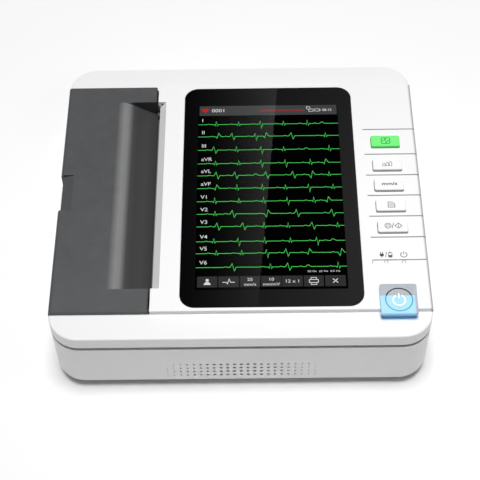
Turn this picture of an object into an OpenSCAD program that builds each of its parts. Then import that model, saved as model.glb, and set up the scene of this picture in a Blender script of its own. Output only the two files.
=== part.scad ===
// Desktop electrocardiograph with a screen, a key column and a full-width thermal printer.
// The origin is the centre of the footprint on the table. +X is right, +Y is the rear, +Z is up.

/* [Case] */
// Overall width, left to right
case_w = 337; // [320:1:420]
// Overall depth, front to rear
case_d = 318; // [310:1:400]
// Corner radius of the case in plan
corner_r = 27; // [20:1:34]
// Wall thickness of both case halves
wall = 2.5; // [2:0.1:3]
// Gap between the table and the underside
foot_gap = 2; // [1.5:0.5:4]
// Height of the lower case
lower_h = 60.5; // [58:0.5:75]
// Height of the recessed seam between the case halves
seam_h = 5; // [3:0.5:8]
// Depth of the recessed seam
seam_inset = 2; // [1:0.1:2.2]
// Height of the upper case's side band
band_h = 13.5; // [12:0.5:20]
// Rounding of the underside's edge
base_round = 13; // [8:1:16]

/* [Deck] */
// Height of the raised deck above the case top
step_h = 5; // [3.5:0.5:7]
// Case top left free in front of the deck
deck_front = 25.5; // [22:0.5:45]
// Case top left free behind the deck
deck_rear = 29; // [26:0.5:45]
// Rounding of the deck's right edge
deck_round = 3; // [1:0.5:4]

/* [Paper door] */
// Width of the paper door
door_w = 87.5; // [84:0.5:100]
// Open gap between the door and the deck
door_gap = 1.5; // [1.5:0.1:3]
// Travel of the door to the left
door_travel = 66; // [40:1:66]
// Length of the scoop, front to rear
scoop_len = 220; // [218:1:226]
// Distance from the scoop's start to the door's right edge
scoop_run = 34.3; // [30:0.1:38]
// Slope of the scoop's floor
scoop_slope = 32; // [26:1:34]
// Radius of the scoop's shoulder
scoop_shoulder = 16; // [10:1:20]
// Length of the finger notch
notch_len = 41.5; // [25:0.5:60]
// Reach of the finger notch into the door
notch_run = 12.3; // [8:0.1:16]
// Depth of the finger notch at the edge
notch_depth = 4; // [2:0.5:5]

/* [Printer] */
// Radius of the rubber platen
platen_r = 8; // [7:0.5:8.5]
// Length of the rubber platen
print_w = 214; // [200:1:214]
// Height of the platen's axis above the table
platen_z = 59; // [58:0.5:60]
// Radius of the platen shaft
shaft_r = 3; // [2.5:0.1:3.5]
// Radius of a full paper roll
roll_r = 20; // [14:0.5:20]
// Width of the paper
paper_w = 210; // [190:1:210]
// Gear module
gear_m = 0.8; // [0.8:0.1:0.8]
// Teeth of the platen gear
platen_teeth = 22; // [18:1:22]
// Teeth of the idler gear
idler_teeth = 28; // [24:1:30]
// Teeth of the motor pinion
pinion_teeth = 12; // [12:1:16]
// Side of the square stepper motor
motor_side = 35; // [28:1:35]

/* [Screen] */
// Width of the cover glass
glass_w = 162.5; // [150:0.5:163]
// Depth of the cover glass, front to rear
glass_d = 257.2; // [240:0.2:258]
// Corner radius of the cover glass
glass_r = 13.5; // [6:0.5:20]
// Thickness of the cover glass
glass_t = 1.8; // [1:0.1:2]
// Distance from the deck's left edge to the glass
glass_left = 26; // [20:0.5:26]
// Distance from the deck's front edge to the glass
glass_front = 3.3; // [2:0.1:5]
// Width of the active screen area
lcd_w = 135.6; // [110:0.1:136]
// Depth of the active screen area
lcd_d = 217; // [180:0.5:218]
// Black border in front of the active area
lcd_front = 19.1; // [12:0.1:24]

/* [Keys] */
// Width of a key
key_w = 27.3; // [20:0.1:30]
// Depth of a key, front to rear
key_d = 13.4; // [10:0.1:15]
// Height of a key above the deck
key_h = 3; // [2:0.1:4]
// Travel of a key
key_travel = 0.8; // [0.5:0.1:0.8]
// Distance from the deck's right edge to the keys' right side
key_right = 15.9; // [10:0.1:17]
// Spacing of the four lower keys
key_pitch = 24.1; // [20:0.1:25]
// Spacing between the green key and the next one
key_first_pitch = 28.5; // [24:0.1:30]
// Clearance round a key in the deck
key_gap = 0.3; // [0.2:0.05:0.4]
// Distance from the deck's front edge to the front key's centre
key_front = 87.7; // [80:0.1:95]
// Distance from a key's centre back to the engraved line behind it
line_back = 13.2; // [10:0.1:14]
// Width of an engraved line
line_w = 1.1; // [0.6:0.1:1.5]

/* [Power key] */
// Width of the power key
power_w = 32.4; // [28:0.1:36]
// Depth of the power key, front to rear
power_d = 31; // [28:0.1:34]
// Overhang of the power key past the deck's front edge
power_over = 8; // [4:0.1:10]
// Distance from the deck's right edge to the power key
power_right = 13.9; // [12:0.1:17]
// Thickness of the power key's plate
power_t = 4; // [3:0.1:5]
// Radius of the light ring
ring_r = 11.7; // [9:0.1:12.5]

/* [Grille] */
// Columns of grille holes
grille_cols = 23; // [15:2:25]
// Rows of grille holes
grille_rows = 4; // [2:1:4]
// Spacing of the columns
grille_dx = 6.03; // [5.5:0.01:6.5]
// Spacing of the rows
grille_dz = 5.9; // [5.4:0.1:6]
// Diameter of the holes at the middle
grille_d_mid = 3.4; // [2.4:0.1:4]
// Diameter of the holes at the ends
grille_d_end = 1.3; // [1:0.1:2]
// Height of the lowest row above the table
grille_z = 19.1; // [17:0.1:22]

/* [Hidden] */
$fn = 48;
eps = 0.01;
fit = 0.3;
run_fit = 0.05;

// Heights of the case.
base_z = foot_gap;
lower_top = base_z + lower_h;
band_z = lower_top + seam_h;
top_z = band_z + band_h;
deck_z = top_z + step_h;
floor_top = base_z + wall;

// Plan of the case, deck and door.
half_w = case_w / 2;
half_d = case_d / 2;
deck_y0 = -half_d + deck_front;
deck_y1 = half_d - deck_rear;
door_x1 = -half_w + door_w;
deck_x0 = door_x1 + door_gap;

// Scoop and paper slot.
scoop_y0 = (deck_y0 + deck_y1) / 2 + 2.2 - scoop_len / 2;
scoop_y1 = scoop_y0 + scoop_len;
print_cy = (scoop_y0 + scoop_y1) / 2;
scoop_x0 = door_x1 - scoop_run;
notch_cut = 2;
shoulder_x = scoop_x0 + scoop_shoulder * sin(scoop_slope);
shoulder_z = deck_z - scoop_shoulder * (1 - cos(scoop_slope));
lip_z = shoulder_z - (door_x1 - shoulder_x) * tan(scoop_slope);
shell_t = 2.2;
scoop_end_t = 2.2;
tear_run = 6.4;
tear_drop = 8;
tear_start = 1.3;

// Printer: platen, gears, head, roll.
platen_x = door_x1 - platen_r - 0.2;
platen_y0 = print_cy - print_w / 2;
platen_y1 = print_cy + print_w / 2;
gear_t = 3;
gear_y0 = scoop_y1 + scoop_end_t + 1;
gear_y1 = gear_y0 + gear_t;
pressure = 25;
platen_gear_r = gear_m * platen_teeth / 2;
idler_r = gear_m * idler_teeth / 2;
pinion_r = gear_m * pinion_teeth / 2;
idler_x = platen_x + platen_gear_r + idler_r;
pinion_dir = -60;
pinion_x = idler_x + (idler_r + pinion_r) * cos(pinion_dir);
pinion_z = platen_z + (idler_r + pinion_r) * sin(pinion_dir);
idler_pin_r = 2;
motor_shaft_r = 1.5;
motor_len = 20;
lug_r = 6.5;
bush_r = shaft_r + 1.3;
web_t = 0.25;
nip_x = platen_x + platen_r + 0.05;
head_x = nip_x + web_t + 0.05;
ceramic_t = 1;
sink_t = 7;
sink_x = head_x + ceramic_t;
chassis_x = sink_x + sink_t + 6;
chassis_t = 1.5;
plate_t = 1;
plate_y = gear_y1 + 0.5;
roll_x = platen_x - 38;
roll_z = platen_z - 30;
roll_y0 = print_cy - paper_w / 2;
core_r = 6;
spindle_r = 4;

// Paper bin and door rails.
bin_t = 2;
bin_x0 = -half_w + wall + base_round / 2;
bin_x1 = platen_x - 10;
bin_y0 = scoop_y0 - bin_t;
bin_y1 = scoop_y1 + bin_t;
bin_z = floor_top + 1.5;
bin_top = platen_z - platen_gear_r - gear_m - 2.4;
rail_w = 10;
rail_h = 9;
rail_t = 1.5;
rail_slot = 4;
rail_z = platen_z + 5;
rail_y_rear = deck_y1 - 6.5;
rail_y_front = deck_y0 + 6.5;
rail_x0 = -half_w + 5.5;
rail_x1 = rail_x0 + 148;
runner_len = rail_x1 - rail_x0 - 1;

// Screen.
glass_x0 = deck_x0 + glass_left;
glass_x1 = glass_x0 + glass_w;
glass_y0 = deck_y0 + glass_front;
glass_y1 = glass_y0 + glass_d;
mask_t = 0.2;
glass_bed = deck_z - glass_t - mask_t;
lcd_x0 = (glass_x0 + glass_x1 - lcd_w) / 2;
lcd_y0 = glass_y0 + lcd_front;
lcd_rim = 4;
lcd_t = 6.5;
lcd_top = glass_bed - 0.1;
bracket_t = 1;

// Keys: centres from the rear, and the engraved lines between them.
key_cx = half_w - key_right - key_w / 2;
key_start_y = deck_y0 + key_front;
KEY_Y = [key_start_y + 3 * key_pitch + key_first_pitch, key_start_y + 3 * key_pitch,
    key_start_y + 2 * key_pitch, key_start_y + key_pitch, key_start_y];
key_top = deck_z + key_h;
line_x0 = key_cx - key_w / 2 - 7.3;
line_d = 0.5;
LINE_Y = concat([KEY_Y[0] + line_back + 3.7, KEY_Y[1] + line_back + 1.2],
    [for (k = [2 : 4]) KEY_Y[k] + line_back], [KEY_Y[4] - line_back + 2.6]);
strip_y1 = KEY_Y[4] - line_back - 22;
strip_w = 4.2;
strip_d = 0.9;
WINDOW_X = [key_cx - key_w / 2 + 5.4, key_cx - key_w / 2 + 21.2];
mat_z = deck_z - 10.2;
mat_t = 1.6;
dome_h = 1.6;
board_t = 1.6;
stem_z = mat_z + mat_t + dome_h + key_travel + 0.2;
flange_z1 = deck_z - wall - 0.15;
flange_t = 1.2;

// Power key.
power_x1 = half_w - power_right;
power_x0 = power_x1 - power_w;
power_y0 = deck_y0 - power_over;
power_y1 = power_y0 + power_d;
power_z = deck_z + 1;
power_cx = (power_x0 + power_x1) / 2;
power_cy = (power_y0 + power_y1) / 2;
neck_w = power_w - 12;
neck_y0 = deck_y0 + wall + 2.4;
neck_y1 = power_y1 - 3.5;
ring_w = 1.1;
ring_y = power_cy - 1.2;
ring_t = 0.6;

// Inside of the case.
post_x = half_w - 20.5;
post_y = half_d - 16;
post_r = 4.6;
screw_r = 1.5;
screw_head_r = 3;
screw_head_h = 1.4;
screw_reach = 9;
seat_z = floor_top + 0.8;
plate_hx = half_w - 28;
plate_hy = half_d - 24;
plate_r = 6;
plate_lip = 4;
deck_seat = 2;
ledge_w = wall + 1.5;
ledge_t = 2.5;
foot_x = half_w - 40;
foot_y = half_d - 40;
foot_r = 9;
foot_sink = 1.2;
board_z = floor_top + 8;
pillar_r = 3;
MAIN = [-30, -95, half_w - 38.5, 30];
hatch_w = 100;
hatch_d = 76;
hatch_x = -35;
hatch_y = 48;
hatch_lip = 3;
panel_x0 = 8;
panel_x1 = 152;
panel_z0 = base_round + base_z + 2;
panel_z1 = lower_top - 8;
panel_t = 1.5;
panel_y = half_d - 6;
inlet_x = 128;
fuse_x = 98;
stud_x = 80;
port_x = 42;
panel_cz = (panel_z0 + panel_z1) / 2;
patient_y = 60;
patient_z = (base_z + base_round + lower_top) / 2;
patient_w = 44;
patient_h = 18;
patient_depth = 8;

// ---------- Helpers ----------

// A box between two opposite corners.
module block(a, b) {
    translate(a)
        cube(b - a);
}

// A rectangle with true round corners, between two opposite corners.
module round_rect(x0, y0, x1, y1, r) {
    translate([x0 + r, y0])
        square([x1 - x0 - 2 * r, y1 - y0]);
    translate([x0, y0 + r])
        square([x1 - x0, y1 - y0 - 2 * r]);
    for (x = [x0 + r, x1 - r], y = [y0 + r, y1 - r])
        translate([x, y])
            circle(r);
}

// An upright plate with round corners, between heights z0 and z1.
module round_block(x0, y0, x1, y1, r, z0, z1) {
    translate([0, 0, z0])
        linear_extrude(z1 - z0)
            round_rect(x0, y0, x1, y1, r);
}

// The case outline, moved inwards by inset, between heights z0 and z1.
module case_slab(inset, z0, z1) {
    round_block(-half_w + inset, -half_d + inset, half_w - inset, half_d - inset,
        corner_r - inset, z0, z1);
}

// An outline given in X and Z, extruded along Y from y0 to y1.
module along_y(points, y0, y1) {
    translate([0, y1, 0])
        rotate([90, 0, 0])
            linear_extrude(y1 - y0)
                polygon(points);
}

// An outline given in Y and Z, extruded along X from x0 to x1.
module along_x(points, x0, x1) {
    translate([x0, 0, 0])
        rotate([90, 0, 90])
            linear_extrude(x1 - x0)
                polygon(points);
}

// A cylinder whose axis runs along Y from y0 to y1.
module rod_y(x, z, r, y0, y1) {
    translate([x, y1, z])
        rotate([90, 0, 0])
            cylinder(r = r, h = y1 - y0);
}

// Points of an arc in steps.
function arc(cx, cz, r, a0, a1, n = 8) =
    [for (k = [0 : n]) let (a = a0 + (a1 - a0) * k / n) [cx + r * cos(a), cz + r * sin(a)]];

// Involute gear outline.
function inv(a) = tan(a) * 180 / PI - a;
function flank(r, teeth, grow) =
    let (rp = gear_m * teeth / 2, rb = rp * cos(pressure), a = r > rb ? acos(rb / r) : 0)
    90 / teeth - grow / rp * 90 / PI + inv(pressure) - inv(a);
function tooth(teeth, base) =
    let (rp = gear_m * teeth / 2, rr = rp - 1.25 * gear_m, ra = rp + 0.95 * gear_m,
        rb = max(rr + 0.01, rp * cos(pressure)), steps = [0, 0.5, 1])
    concat([[rr, base - flank(rb, teeth, 0.12)]],
        [for (s = steps) let (r = rb + (ra - rb) * s) [r, base - flank(r, teeth, 0.12)]],
        [for (s = steps) let (r = ra - (ra - rb) * s) [r, base + flank(r, teeth, 0.12)]],
        [[rr, base + flank(rb, teeth, 0.12)]]);
function gear_points(teeth, turn) =
    [for (k = [0 : teeth - 1]) for (p = tooth(teeth, turn + 360 * k / teeth))
        [p[0] * cos(p[1]), p[0] * sin(p[1])]];

// A spur gear whose axis runs along Y, with a bore of radius bore.
module gear(x, z, teeth, turn, bore) {
    difference() {
        translate([x, gear_y1, z])
            rotate([90, 0, 0])
                linear_extrude(gear_t)
                    polygon(gear_points(teeth, turn));
        rod_y(x, z, bore, gear_y0 - 1, gear_y1 + 1);
    }
}

// Turn of each gear, so that a tooth of one faces a gap of the next.
platen_turn = 0;
idler_turn = 180 / idler_teeth + 180;
idler_lag = (pinion_dir - idler_turn) % (360 / idler_teeth);
pinion_turn = pinion_dir + 180 + idler_lag * idler_teeth / pinion_teeth + 180 / pinion_teeth;

// ---------- Case ----------

// Upright section of a tub with a rounded foot, half wide on each side of the axis.
module tub_section(half, r, z0, z1) {
    translate([-half + r, z0])
        square([2 * (half - r), z1 - z0]);
    translate([-half, z0 + r])
        square([2 * half, z1 - z0 - r]);
    for (x = [r - half, half - r])
        translate([x, z0 + r])
            circle(r);
}

// Solid of the lower case with a rounded underside, moved inwards by inset.
module tub(inset, z0, z1) {
    r = base_round - inset;
    plan_r = corner_r - inset;
    cx = half_w - corner_r;
    cy = half_d - corner_r;
    translate([0, cy, 0])
        rotate([90, 0, 0])
            linear_extrude(2 * cy)
                tub_section(half_w - inset, r, z0, z1);
    translate([-cx, 0, 0])
        rotate([90, 0, 90])
            linear_extrude(2 * cx)
                tub_section(half_d - inset, r, z0, z1);
    for (k = [0 : 3])
        translate([cx * (k == 0 || k == 3 ? 1 : -1), cy * (k < 2 ? 1 : -1), 0])
            rotate([0, 0, 90 * k])
                rotate_extrude(angle = 90)
                    intersection() {
                        tub_section(plan_r, r, z0, z1);
                        square([plan_r + 1, z1 + 1]);
                    }
}

module grille_holes() {
    mid = (grille_cols - 1) / 2;
    for (i = [0 : grille_cols - 1], j = [0 : grille_rows - 1])
        let (d = grille_d_end + (grille_d_mid - grille_d_end) * cos(90 * (i - mid) / mid))
            translate([(i - mid) * grille_dx, -half_d - 1, grille_z + j * grille_dz])
                rotate([-90, 0, 0])
                    cylinder(d = d, h = wall + 2, $fn = 8);
}

module pillars(x0, y0, x1, y1, z0, z1) {
    for (x = [x0, x1], y = [y0, y1])
        translate([x, y, z0])
            cylinder(r = pillar_r, h = z1 - z0);
}

module plate_outline(grow, z0, z1) {
    round_block(-plate_hx - grow, -plate_hy - grow, plate_hx + grow, plate_hy + grow,
        plate_r + grow, z0, z1);
}

// Ring of walls with the rounded underside, and the flange that carries the base plate.
module lower_case() {
    color("whitesmoke")
        difference() {
            union() {
                difference() {
                    tub(0, base_z, lower_top);
                    tub(wall, floor_top, lower_top + 1);
                }
                for (x = [-post_x, post_x], y = [-post_y, post_y])
                    translate([x, y, base_z + wall / 2])
                        cylinder(r = post_r, h = seat_z - base_z - wall / 2);
                block([panel_x0 - 3, panel_y - 3, panel_z0 - 3], [panel_x1 + 3, half_d - 1, panel_z1 + 3]);
                block([half_w - patient_depth - wall, patient_y - patient_w / 2 - wall,
                    patient_z - patient_h / 2 - wall],
                    [half_w - 1, patient_y + patient_w / 2 + wall, patient_z + patient_h / 2 + wall]);
            }
            plate_outline(0, base_z - 1, floor_top + 1);
            plate_outline(plate_lip, base_z + wall / 2, floor_top + 1);
            grille_holes();
            for (x = [-post_x, post_x], y = [-post_y, post_y])
                translate([x, y, base_z - 1]) {
                    cylinder(r = screw_head_r + 0.2, h = 1 + screw_head_h);
                    cylinder(r = screw_r + 0.2, h = 3 + wall);
                }
            block([panel_x0, panel_y - panel_t - 0.1, panel_z0], [panel_x1, half_d + 1, panel_z1]);
            block([panel_x0 + 3, panel_y - 10, panel_z0 + 3], [panel_x1 - 3, panel_y, panel_z1 - 3]);
            block([half_w - patient_depth, patient_y - patient_w / 2, patient_z - patient_h / 2],
                [half_w + 1, patient_y + patient_w / 2, patient_z + patient_h / 2]);
            block([half_w - 20, patient_y - 16, patient_z - 4.5],
                [half_w - 5, patient_y + 16, patient_z + 4.5]);
        }
}

// Flat bottom cover that drops onto the flange from inside, with the battery bay's opening.
module base_plate() {
    color("gainsboro")
        difference() {
            union() {
                plate_outline(-fit / 2, base_z, base_z + wall / 2 + eps);
                plate_outline(plate_lip - fit / 2, base_z + wall / 2, floor_top);
            }
            for (x = [-foot_x, foot_x], y = [-foot_y, foot_y])
                translate([x, y, base_z - 1])
                    cylinder(r = foot_r + 0.1, h = foot_sink + 1);
            block([hatch_x, hatch_y, base_z - 1], [hatch_x + hatch_w, hatch_y + hatch_d, base_z + 1.6]);
            block([hatch_x + hatch_lip, hatch_y + hatch_lip, base_z - 1],
                [hatch_x + hatch_w - hatch_lip, hatch_y + hatch_d - hatch_lip, floor_top + 1]);
        }
}

// Threaded pillars between the case halves, and the ones under the main board and the printer.
module standoffs() {
    color("silver") {
        difference() {
            for (x = [-post_x, post_x], y = [-post_y, post_y])
                translate([x, y, seat_z])
                    cylinder(r = post_r, h = top_z - wall - seat_z);
            for (x = [-post_x, post_x], y = [-post_y, post_y])
                translate([x, y, seat_z - 1])
                    cylinder(r = screw_r + run_fit, h = screw_reach + 1);
        }
        pillars(MAIN[0] + 6, MAIN[1] + 6, MAIN[2] - 6, MAIN[3] - 6, floor_top, board_z);
        for (y = [platen_y0 + 6, platen_y1 - 12])
            translate([chassis_x + 12, y, floor_top])
                cylinder(r = 4, h = platen_z - 15 - floor_top);
    }
}

module seam_gasket() {
    color("gray")
        difference() {
            case_slab(seam_inset, lower_top + eps, band_z - eps);
            case_slab(seam_inset + wall, lower_top - 1, band_z + 1);
            block([-half_w - 1, deck_y0 - 1, lower_top + 0.8], [-post_x, deck_y1 + 1, band_z + 1]);
            block([-half_w + seam_inset + wall / 2, deck_y0 - 1, lower_top - 1],
                [-post_x, deck_y1 + 1, band_z + 1]);
        }
}

// The raised deck, as an outline along each of its two directions.
module deck_solid(inset, x0, z0) {
    r = deck_round - inset * 0.5;
    x1 = half_w - inset;
    z1 = deck_z - inset;
    intersection() {
        along_y(concat([[x0, z0], [x1, z0]], arc(x1 - r, z1 - r, r, 0, 90), [[x0, z1]]),
            deck_y0 + inset, deck_y1 - inset);
        along_x(concat([[deck_y0 + inset, z0], [deck_y1 - inset, z0]],
            arc(deck_y1 - inset - 1, z1 - 1, 1, 0, 90, 4),
            arc(deck_y0 + inset + 1, z1 - 1, 1, 90, 180, 4)), -half_w, half_w);
    }
}

module key_opening(cy) {
    round_block(key_cx - key_w / 2 - key_gap, cy - key_d / 2 - key_gap,
        key_cx + key_w / 2 + key_gap, cy + key_d / 2 + key_gap, 2, deck_z - wall - 1, deck_z + 1);
}

// Outline of the sloped wall on the deck side of the paper slot.
function tear_outline() =
    let (x = deck_x0 + tear_start, z = deck_z - tear_drop)
    [[x, z], [x + tear_run, deck_z], [x + tear_run + 2.4, deck_z], [x + tear_run + 2.4, deck_z - wall],
        [x + 2.6, z - 1], [x + 0.6, z - 1]];

// Frame of the case top: a side band and a top plate, open for the door and under the deck.
module upper_case() {
    color("white")
        difference() {
            hull() {
                case_slab(0, band_z, top_z - 1.4);
                case_slab(0.4, top_z - 0.5, top_z - 0.45);
                case_slab(1.4, top_z - eps, top_z);
            }
            difference() {
                case_slab(wall, band_z - 1, top_z - wall);
                block([deck_x0 - 1, deck_y0 - wall, top_z - deck_seat - ledge_t],
                    [half_w, deck_y1 + wall, top_z]);
            }
            block([deck_x0 - 1, scoop_y0 - scoop_end_t, band_z - 1], [half_w - ledge_w, scoop_y1 + scoop_end_t, deck_z]);
            block([deck_x0 + ledge_w, deck_y0 + ledge_w, band_z - 1],
                [half_w - ledge_w, deck_y1 - ledge_w, deck_z]);
            block([deck_x0 - 1, deck_y0, top_z - deck_seat], [half_w + 1, deck_y1, deck_z]);
            block([-half_w - 1, deck_y0, band_z - 1], [deck_x0, deck_y1, deck_z]);
        }
}

// Raised deck that sits in a rebate of the upper case, with the glass bed and the key openings.
module deck_cover() {
    color("white")
        difference() {
            union() {
                difference() {
                    deck_solid(0, deck_x0, top_z - deck_seat);
                    deck_solid(wall, deck_x0 + wall, top_z - deck_seat - 1);
                    block([deck_x0 - 1, scoop_y0, band_z - 1],
                        [deck_x0 + tear_start + tear_run + 1, scoop_y1, deck_z + 1]);
                }
                along_y(tear_outline(), scoop_y0 - 1, scoop_y1 + 1);
                round_block(glass_x0 - 3.5, glass_y0 - 0.7, glass_x1 + 3.5, glass_y1 + 0.4, glass_r,
                    glass_bed - 1.2, deck_z - 0.5);
            }
            round_block(glass_x0 - fit, glass_y0 - fit, glass_x1 + fit, glass_y1 + fit, glass_r + fit,
                glass_bed, deck_z + 1);
            block([lcd_x0 - lcd_rim - fit, lcd_y0 - lcd_rim - fit, glass_bed - 5],
                [lcd_x0 + lcd_w + lcd_rim + fit, lcd_y0 + lcd_d + lcd_rim + fit, deck_z]);
            for (y = KEY_Y)
                key_opening(y);
            for (y = LINE_Y)
                block([line_x0, y - line_w / 2, deck_z - line_d], [half_w + 1, y + line_w / 2, deck_z + 1]);
            for (y = LINE_Y)
                block([half_w - 1.2, y - line_w / 2, deck_z - 2.6], [half_w + 1, y + line_w / 2, deck_z]);
            block([line_x0, strip_y1 - strip_w, deck_z - strip_d], [half_w + 1, strip_y1, deck_z + 1]);
            for (x = WINDOW_X)
                translate([x, strip_y1 - strip_w / 2, deck_z - wall - 1])
                    cylinder(r = 1.3 + 0.05, h = wall + 2);
            round_block(power_cx - neck_w / 2 - fit, neck_y0 - fit, power_cx + neck_w / 2 + fit,
                neck_y1 + fit, 2, deck_z - wall - 1, deck_z + 1);
        }
}

// ---------- Paper door ----------

// Outer outline of the door, flat or with its scoop, from its left skirt to its right edge.
function door_top(scoop) = concat(
    arc(-half_w + 3, deck_z - 3, 3, 180, 90),
    scoop
        ? concat(arc(scoop_x0, deck_z - scoop_shoulder, scoop_shoulder, 90, 90 - scoop_slope),
            [[door_x1, lip_z]])
        : arc(door_x1 - 1.5, deck_z - 1.5, 1.5, 90, 0, 4));
function door_under(scoop) = concat(
    scoop
        ? concat([[door_x1, lip_z - shell_t]],
            arc(scoop_x0, deck_z - scoop_shoulder, scoop_shoulder - shell_t, 90 - scoop_slope, 90))
        : [[door_x1, band_z + 7], [door_x1 - shell_t, band_z + 7], [door_x1 - shell_t, deck_z - shell_t]],
    [[-half_w + shell_t, deck_z - shell_t], [-half_w + shell_t, band_z + fit], [-half_w, band_z + fit]]);
// Side outline of a scoop end wall with its lug for the platen shaft.
function scoop_end() = concat([[scoop_x0 - 4, deck_z - 1], [door_x1 - 0.4, deck_z - 1.6]],
    [[door_x1 - 0.4, platen_z + lug_r]], arc(platen_x, platen_z, lug_r, 0, -180, 12),
    [[platen_x - lug_r, deck_z - 24]]);

module printer_door() {
    y0 = deck_y0 + eps;
    y1 = deck_y1 - eps;
    color("dimgray")
        difference() {
            union() {
                for (span = [[y0, scoop_y0], [scoop_y1, y1]])
                    along_y(concat(door_top(false), door_under(false)), span[0], span[1]);
                along_y(concat(door_top(true), door_under(true)), scoop_y0 - eps, scoop_y1 + eps);
                for (y = [scoop_y0 - scoop_end_t, scoop_y1])
                    along_y(scoop_end(), y, y + scoop_end_t);
                for (y = [y0, y1 - shell_t])
                    block([-half_w + 2, y, top_z + fit], [door_x1 - 2, y + shell_t, deck_z - 1.5]);
                block([-half_w + 1.5, -notch_len / 2 - 2, deck_z - notch_depth - shell_t],
                    [-half_w + notch_run + 1, notch_len / 2 + 2, deck_z - 1.5]);
                block([-half_w + 1.5, -notch_len / 2 - 2, band_z + fit],
                    [-half_w + notch_cut + shell_t, notch_len / 2 + 2, deck_z - 1.5]);
            }
            translate([0, -0.8, 0])
                block([-half_w - 1, -notch_len / 2, band_z - 1],
                    [-half_w + notch_cut, notch_len / 2, deck_z + 1]);
            translate([0, -0.8, 0])
                along_y([[-half_w - 1, deck_z - notch_depth - 0.3], [-half_w + notch_run, deck_z - 0.6],
                    [-half_w + notch_run, deck_z + 1], [-half_w - 1, deck_z + 1]],
                    -notch_len / 2, notch_len / 2);
            rod_y(platen_x, platen_z, bush_r + 0.01, scoop_y0 - 5, scoop_y0 + 1);
            rod_y(platen_x, platen_z, bush_r + 0.01, scoop_y1 - 1, scoop_y1 + 5);
        }
}

module door_runners() {
    foot_w = rail_w - 2 * rail_t - 2 * fit;
    color("silver")
        for (y = [rail_y_front, rail_y_rear]) {
            block([rail_x0 + 0.5, y - foot_w / 2, rail_z + rail_t + fit],
                [rail_x0 + 0.5 + runner_len, y + foot_w / 2, rail_z + rail_h - rail_t - fit]);
            block([rail_x0 + 4, y - rail_slot / 2 + fit, rail_z + rail_h - rail_t - 1],
                [door_x1 - 5, y + rail_slot / 2 - fit, deck_z - shell_t]);
        }
}

module guide_rails() {
    color("lightgray")
        for (y = [rail_y_front, rail_y_rear])
            difference() {
                block([rail_x0, y - rail_w / 2, rail_z], [rail_x1, y + rail_w / 2, rail_z + rail_h]);
                block([rail_x0 - 1, y - rail_w / 2 + rail_t, rail_z + rail_t],
                    [rail_x1 + 1, y + rail_w / 2 - rail_t, rail_z + rail_h - rail_t]);
                block([rail_x0 - 1, y - rail_slot / 2, rail_z + rail_t],
                    [rail_x1 + 1, y + rail_slot / 2, rail_z + rail_h + 1]);
            }
}

// Bent spring strips that hold the shut door at its runners' inner ends.
module door_detents() {
    x = rail_x1 + 0.3;
    color("gainsboro")
        for (y = [rail_y_front, rail_y_rear])
            along_y([[x - 4, rail_z + rail_h + 0.1], [x + 0.4, rail_z + rail_h + 0.1],
                [x + 1.6, rail_z + 4], [x + 0.2, rail_z + 2.5], [x + 0.6, rail_z + 2.3],
                [x + 2.1, rail_z + 4], [x + 0.9, rail_z + rail_h + 0.6], [x - 4, rail_z + rail_h + 0.6]],
                y - 3, y + 3);
}

// ---------- Printer ----------

module platen_bushes() {
    color("goldenrod")
        for (y = [scoop_y0 - scoop_end_t, scoop_y1])
            difference() {
                rod_y(platen_x, platen_z, bush_r, y, y + scoop_end_t);
                rod_y(platen_x, platen_z, shaft_r + run_fit, y - 1, y + scoop_end_t + 1);
            }
}

module platen_shaft() {
    color("silver")
        rod_y(platen_x, platen_z, shaft_r, scoop_y0 - scoop_end_t - 1.5, gear_y1 + 0.3);
}

module platen_sleeve() {
    color("black")
        difference() {
            rod_y(platen_x, platen_z, platen_r, platen_y0, platen_y1);
            rod_y(platen_x, platen_z, shaft_r, platen_y0 - 1, platen_y1 + 1);
        }
}

module platen_gear() {
    color("ivory")
        gear(platen_x, platen_z, platen_teeth, platen_turn, shaft_r);
}

module idler_gear() {
    color("ivory")
        gear(idler_x, platen_z, idler_teeth, idler_turn, idler_pin_r + run_fit);
}

module idler_pin() {
    color("silver") {
        rod_y(idler_x, platen_z, idler_pin_r, gear_y0 - 0.6, plate_y + plate_t);
        rod_y(idler_x, platen_z, idler_pin_r + 1, gear_y0 - 1.4, gear_y0 - 0.3);
    }
}

module motor_pinion() {
    color("goldenrod")
        union() {
            gear(pinion_x, pinion_z, pinion_teeth, pinion_turn, motor_shaft_r - 0.5);
            rod_y(pinion_x, pinion_z, motor_shaft_r, gear_y0 + 1, plate_y + plate_t + 6);
        }
}

module stepper_motor() {
    y0 = plate_y + plate_t;
    h = motor_side / 2;
    color("darkslategray")
        difference() {
            union() {
                along_y([[pinion_x - h + 3, pinion_z - h], [pinion_x + h - 3, pinion_z - h],
                    [pinion_x + h, pinion_z - h + 3], [pinion_x + h, pinion_z + h - 3],
                    [pinion_x + h - 3, pinion_z + h], [pinion_x - h + 3, pinion_z + h],
                    [pinion_x - h, pinion_z + h - 3], [pinion_x - h, pinion_z - h + 3]],
                    y0, y0 + motor_len);
                rod_y(pinion_x, pinion_z, 7, y0 + motor_len - 1, y0 + motor_len + 1.2);
            }
            rod_y(pinion_x, pinion_z, motor_shaft_r + run_fit, y0 - 1, y0 + 6.2);
        }
}

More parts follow.
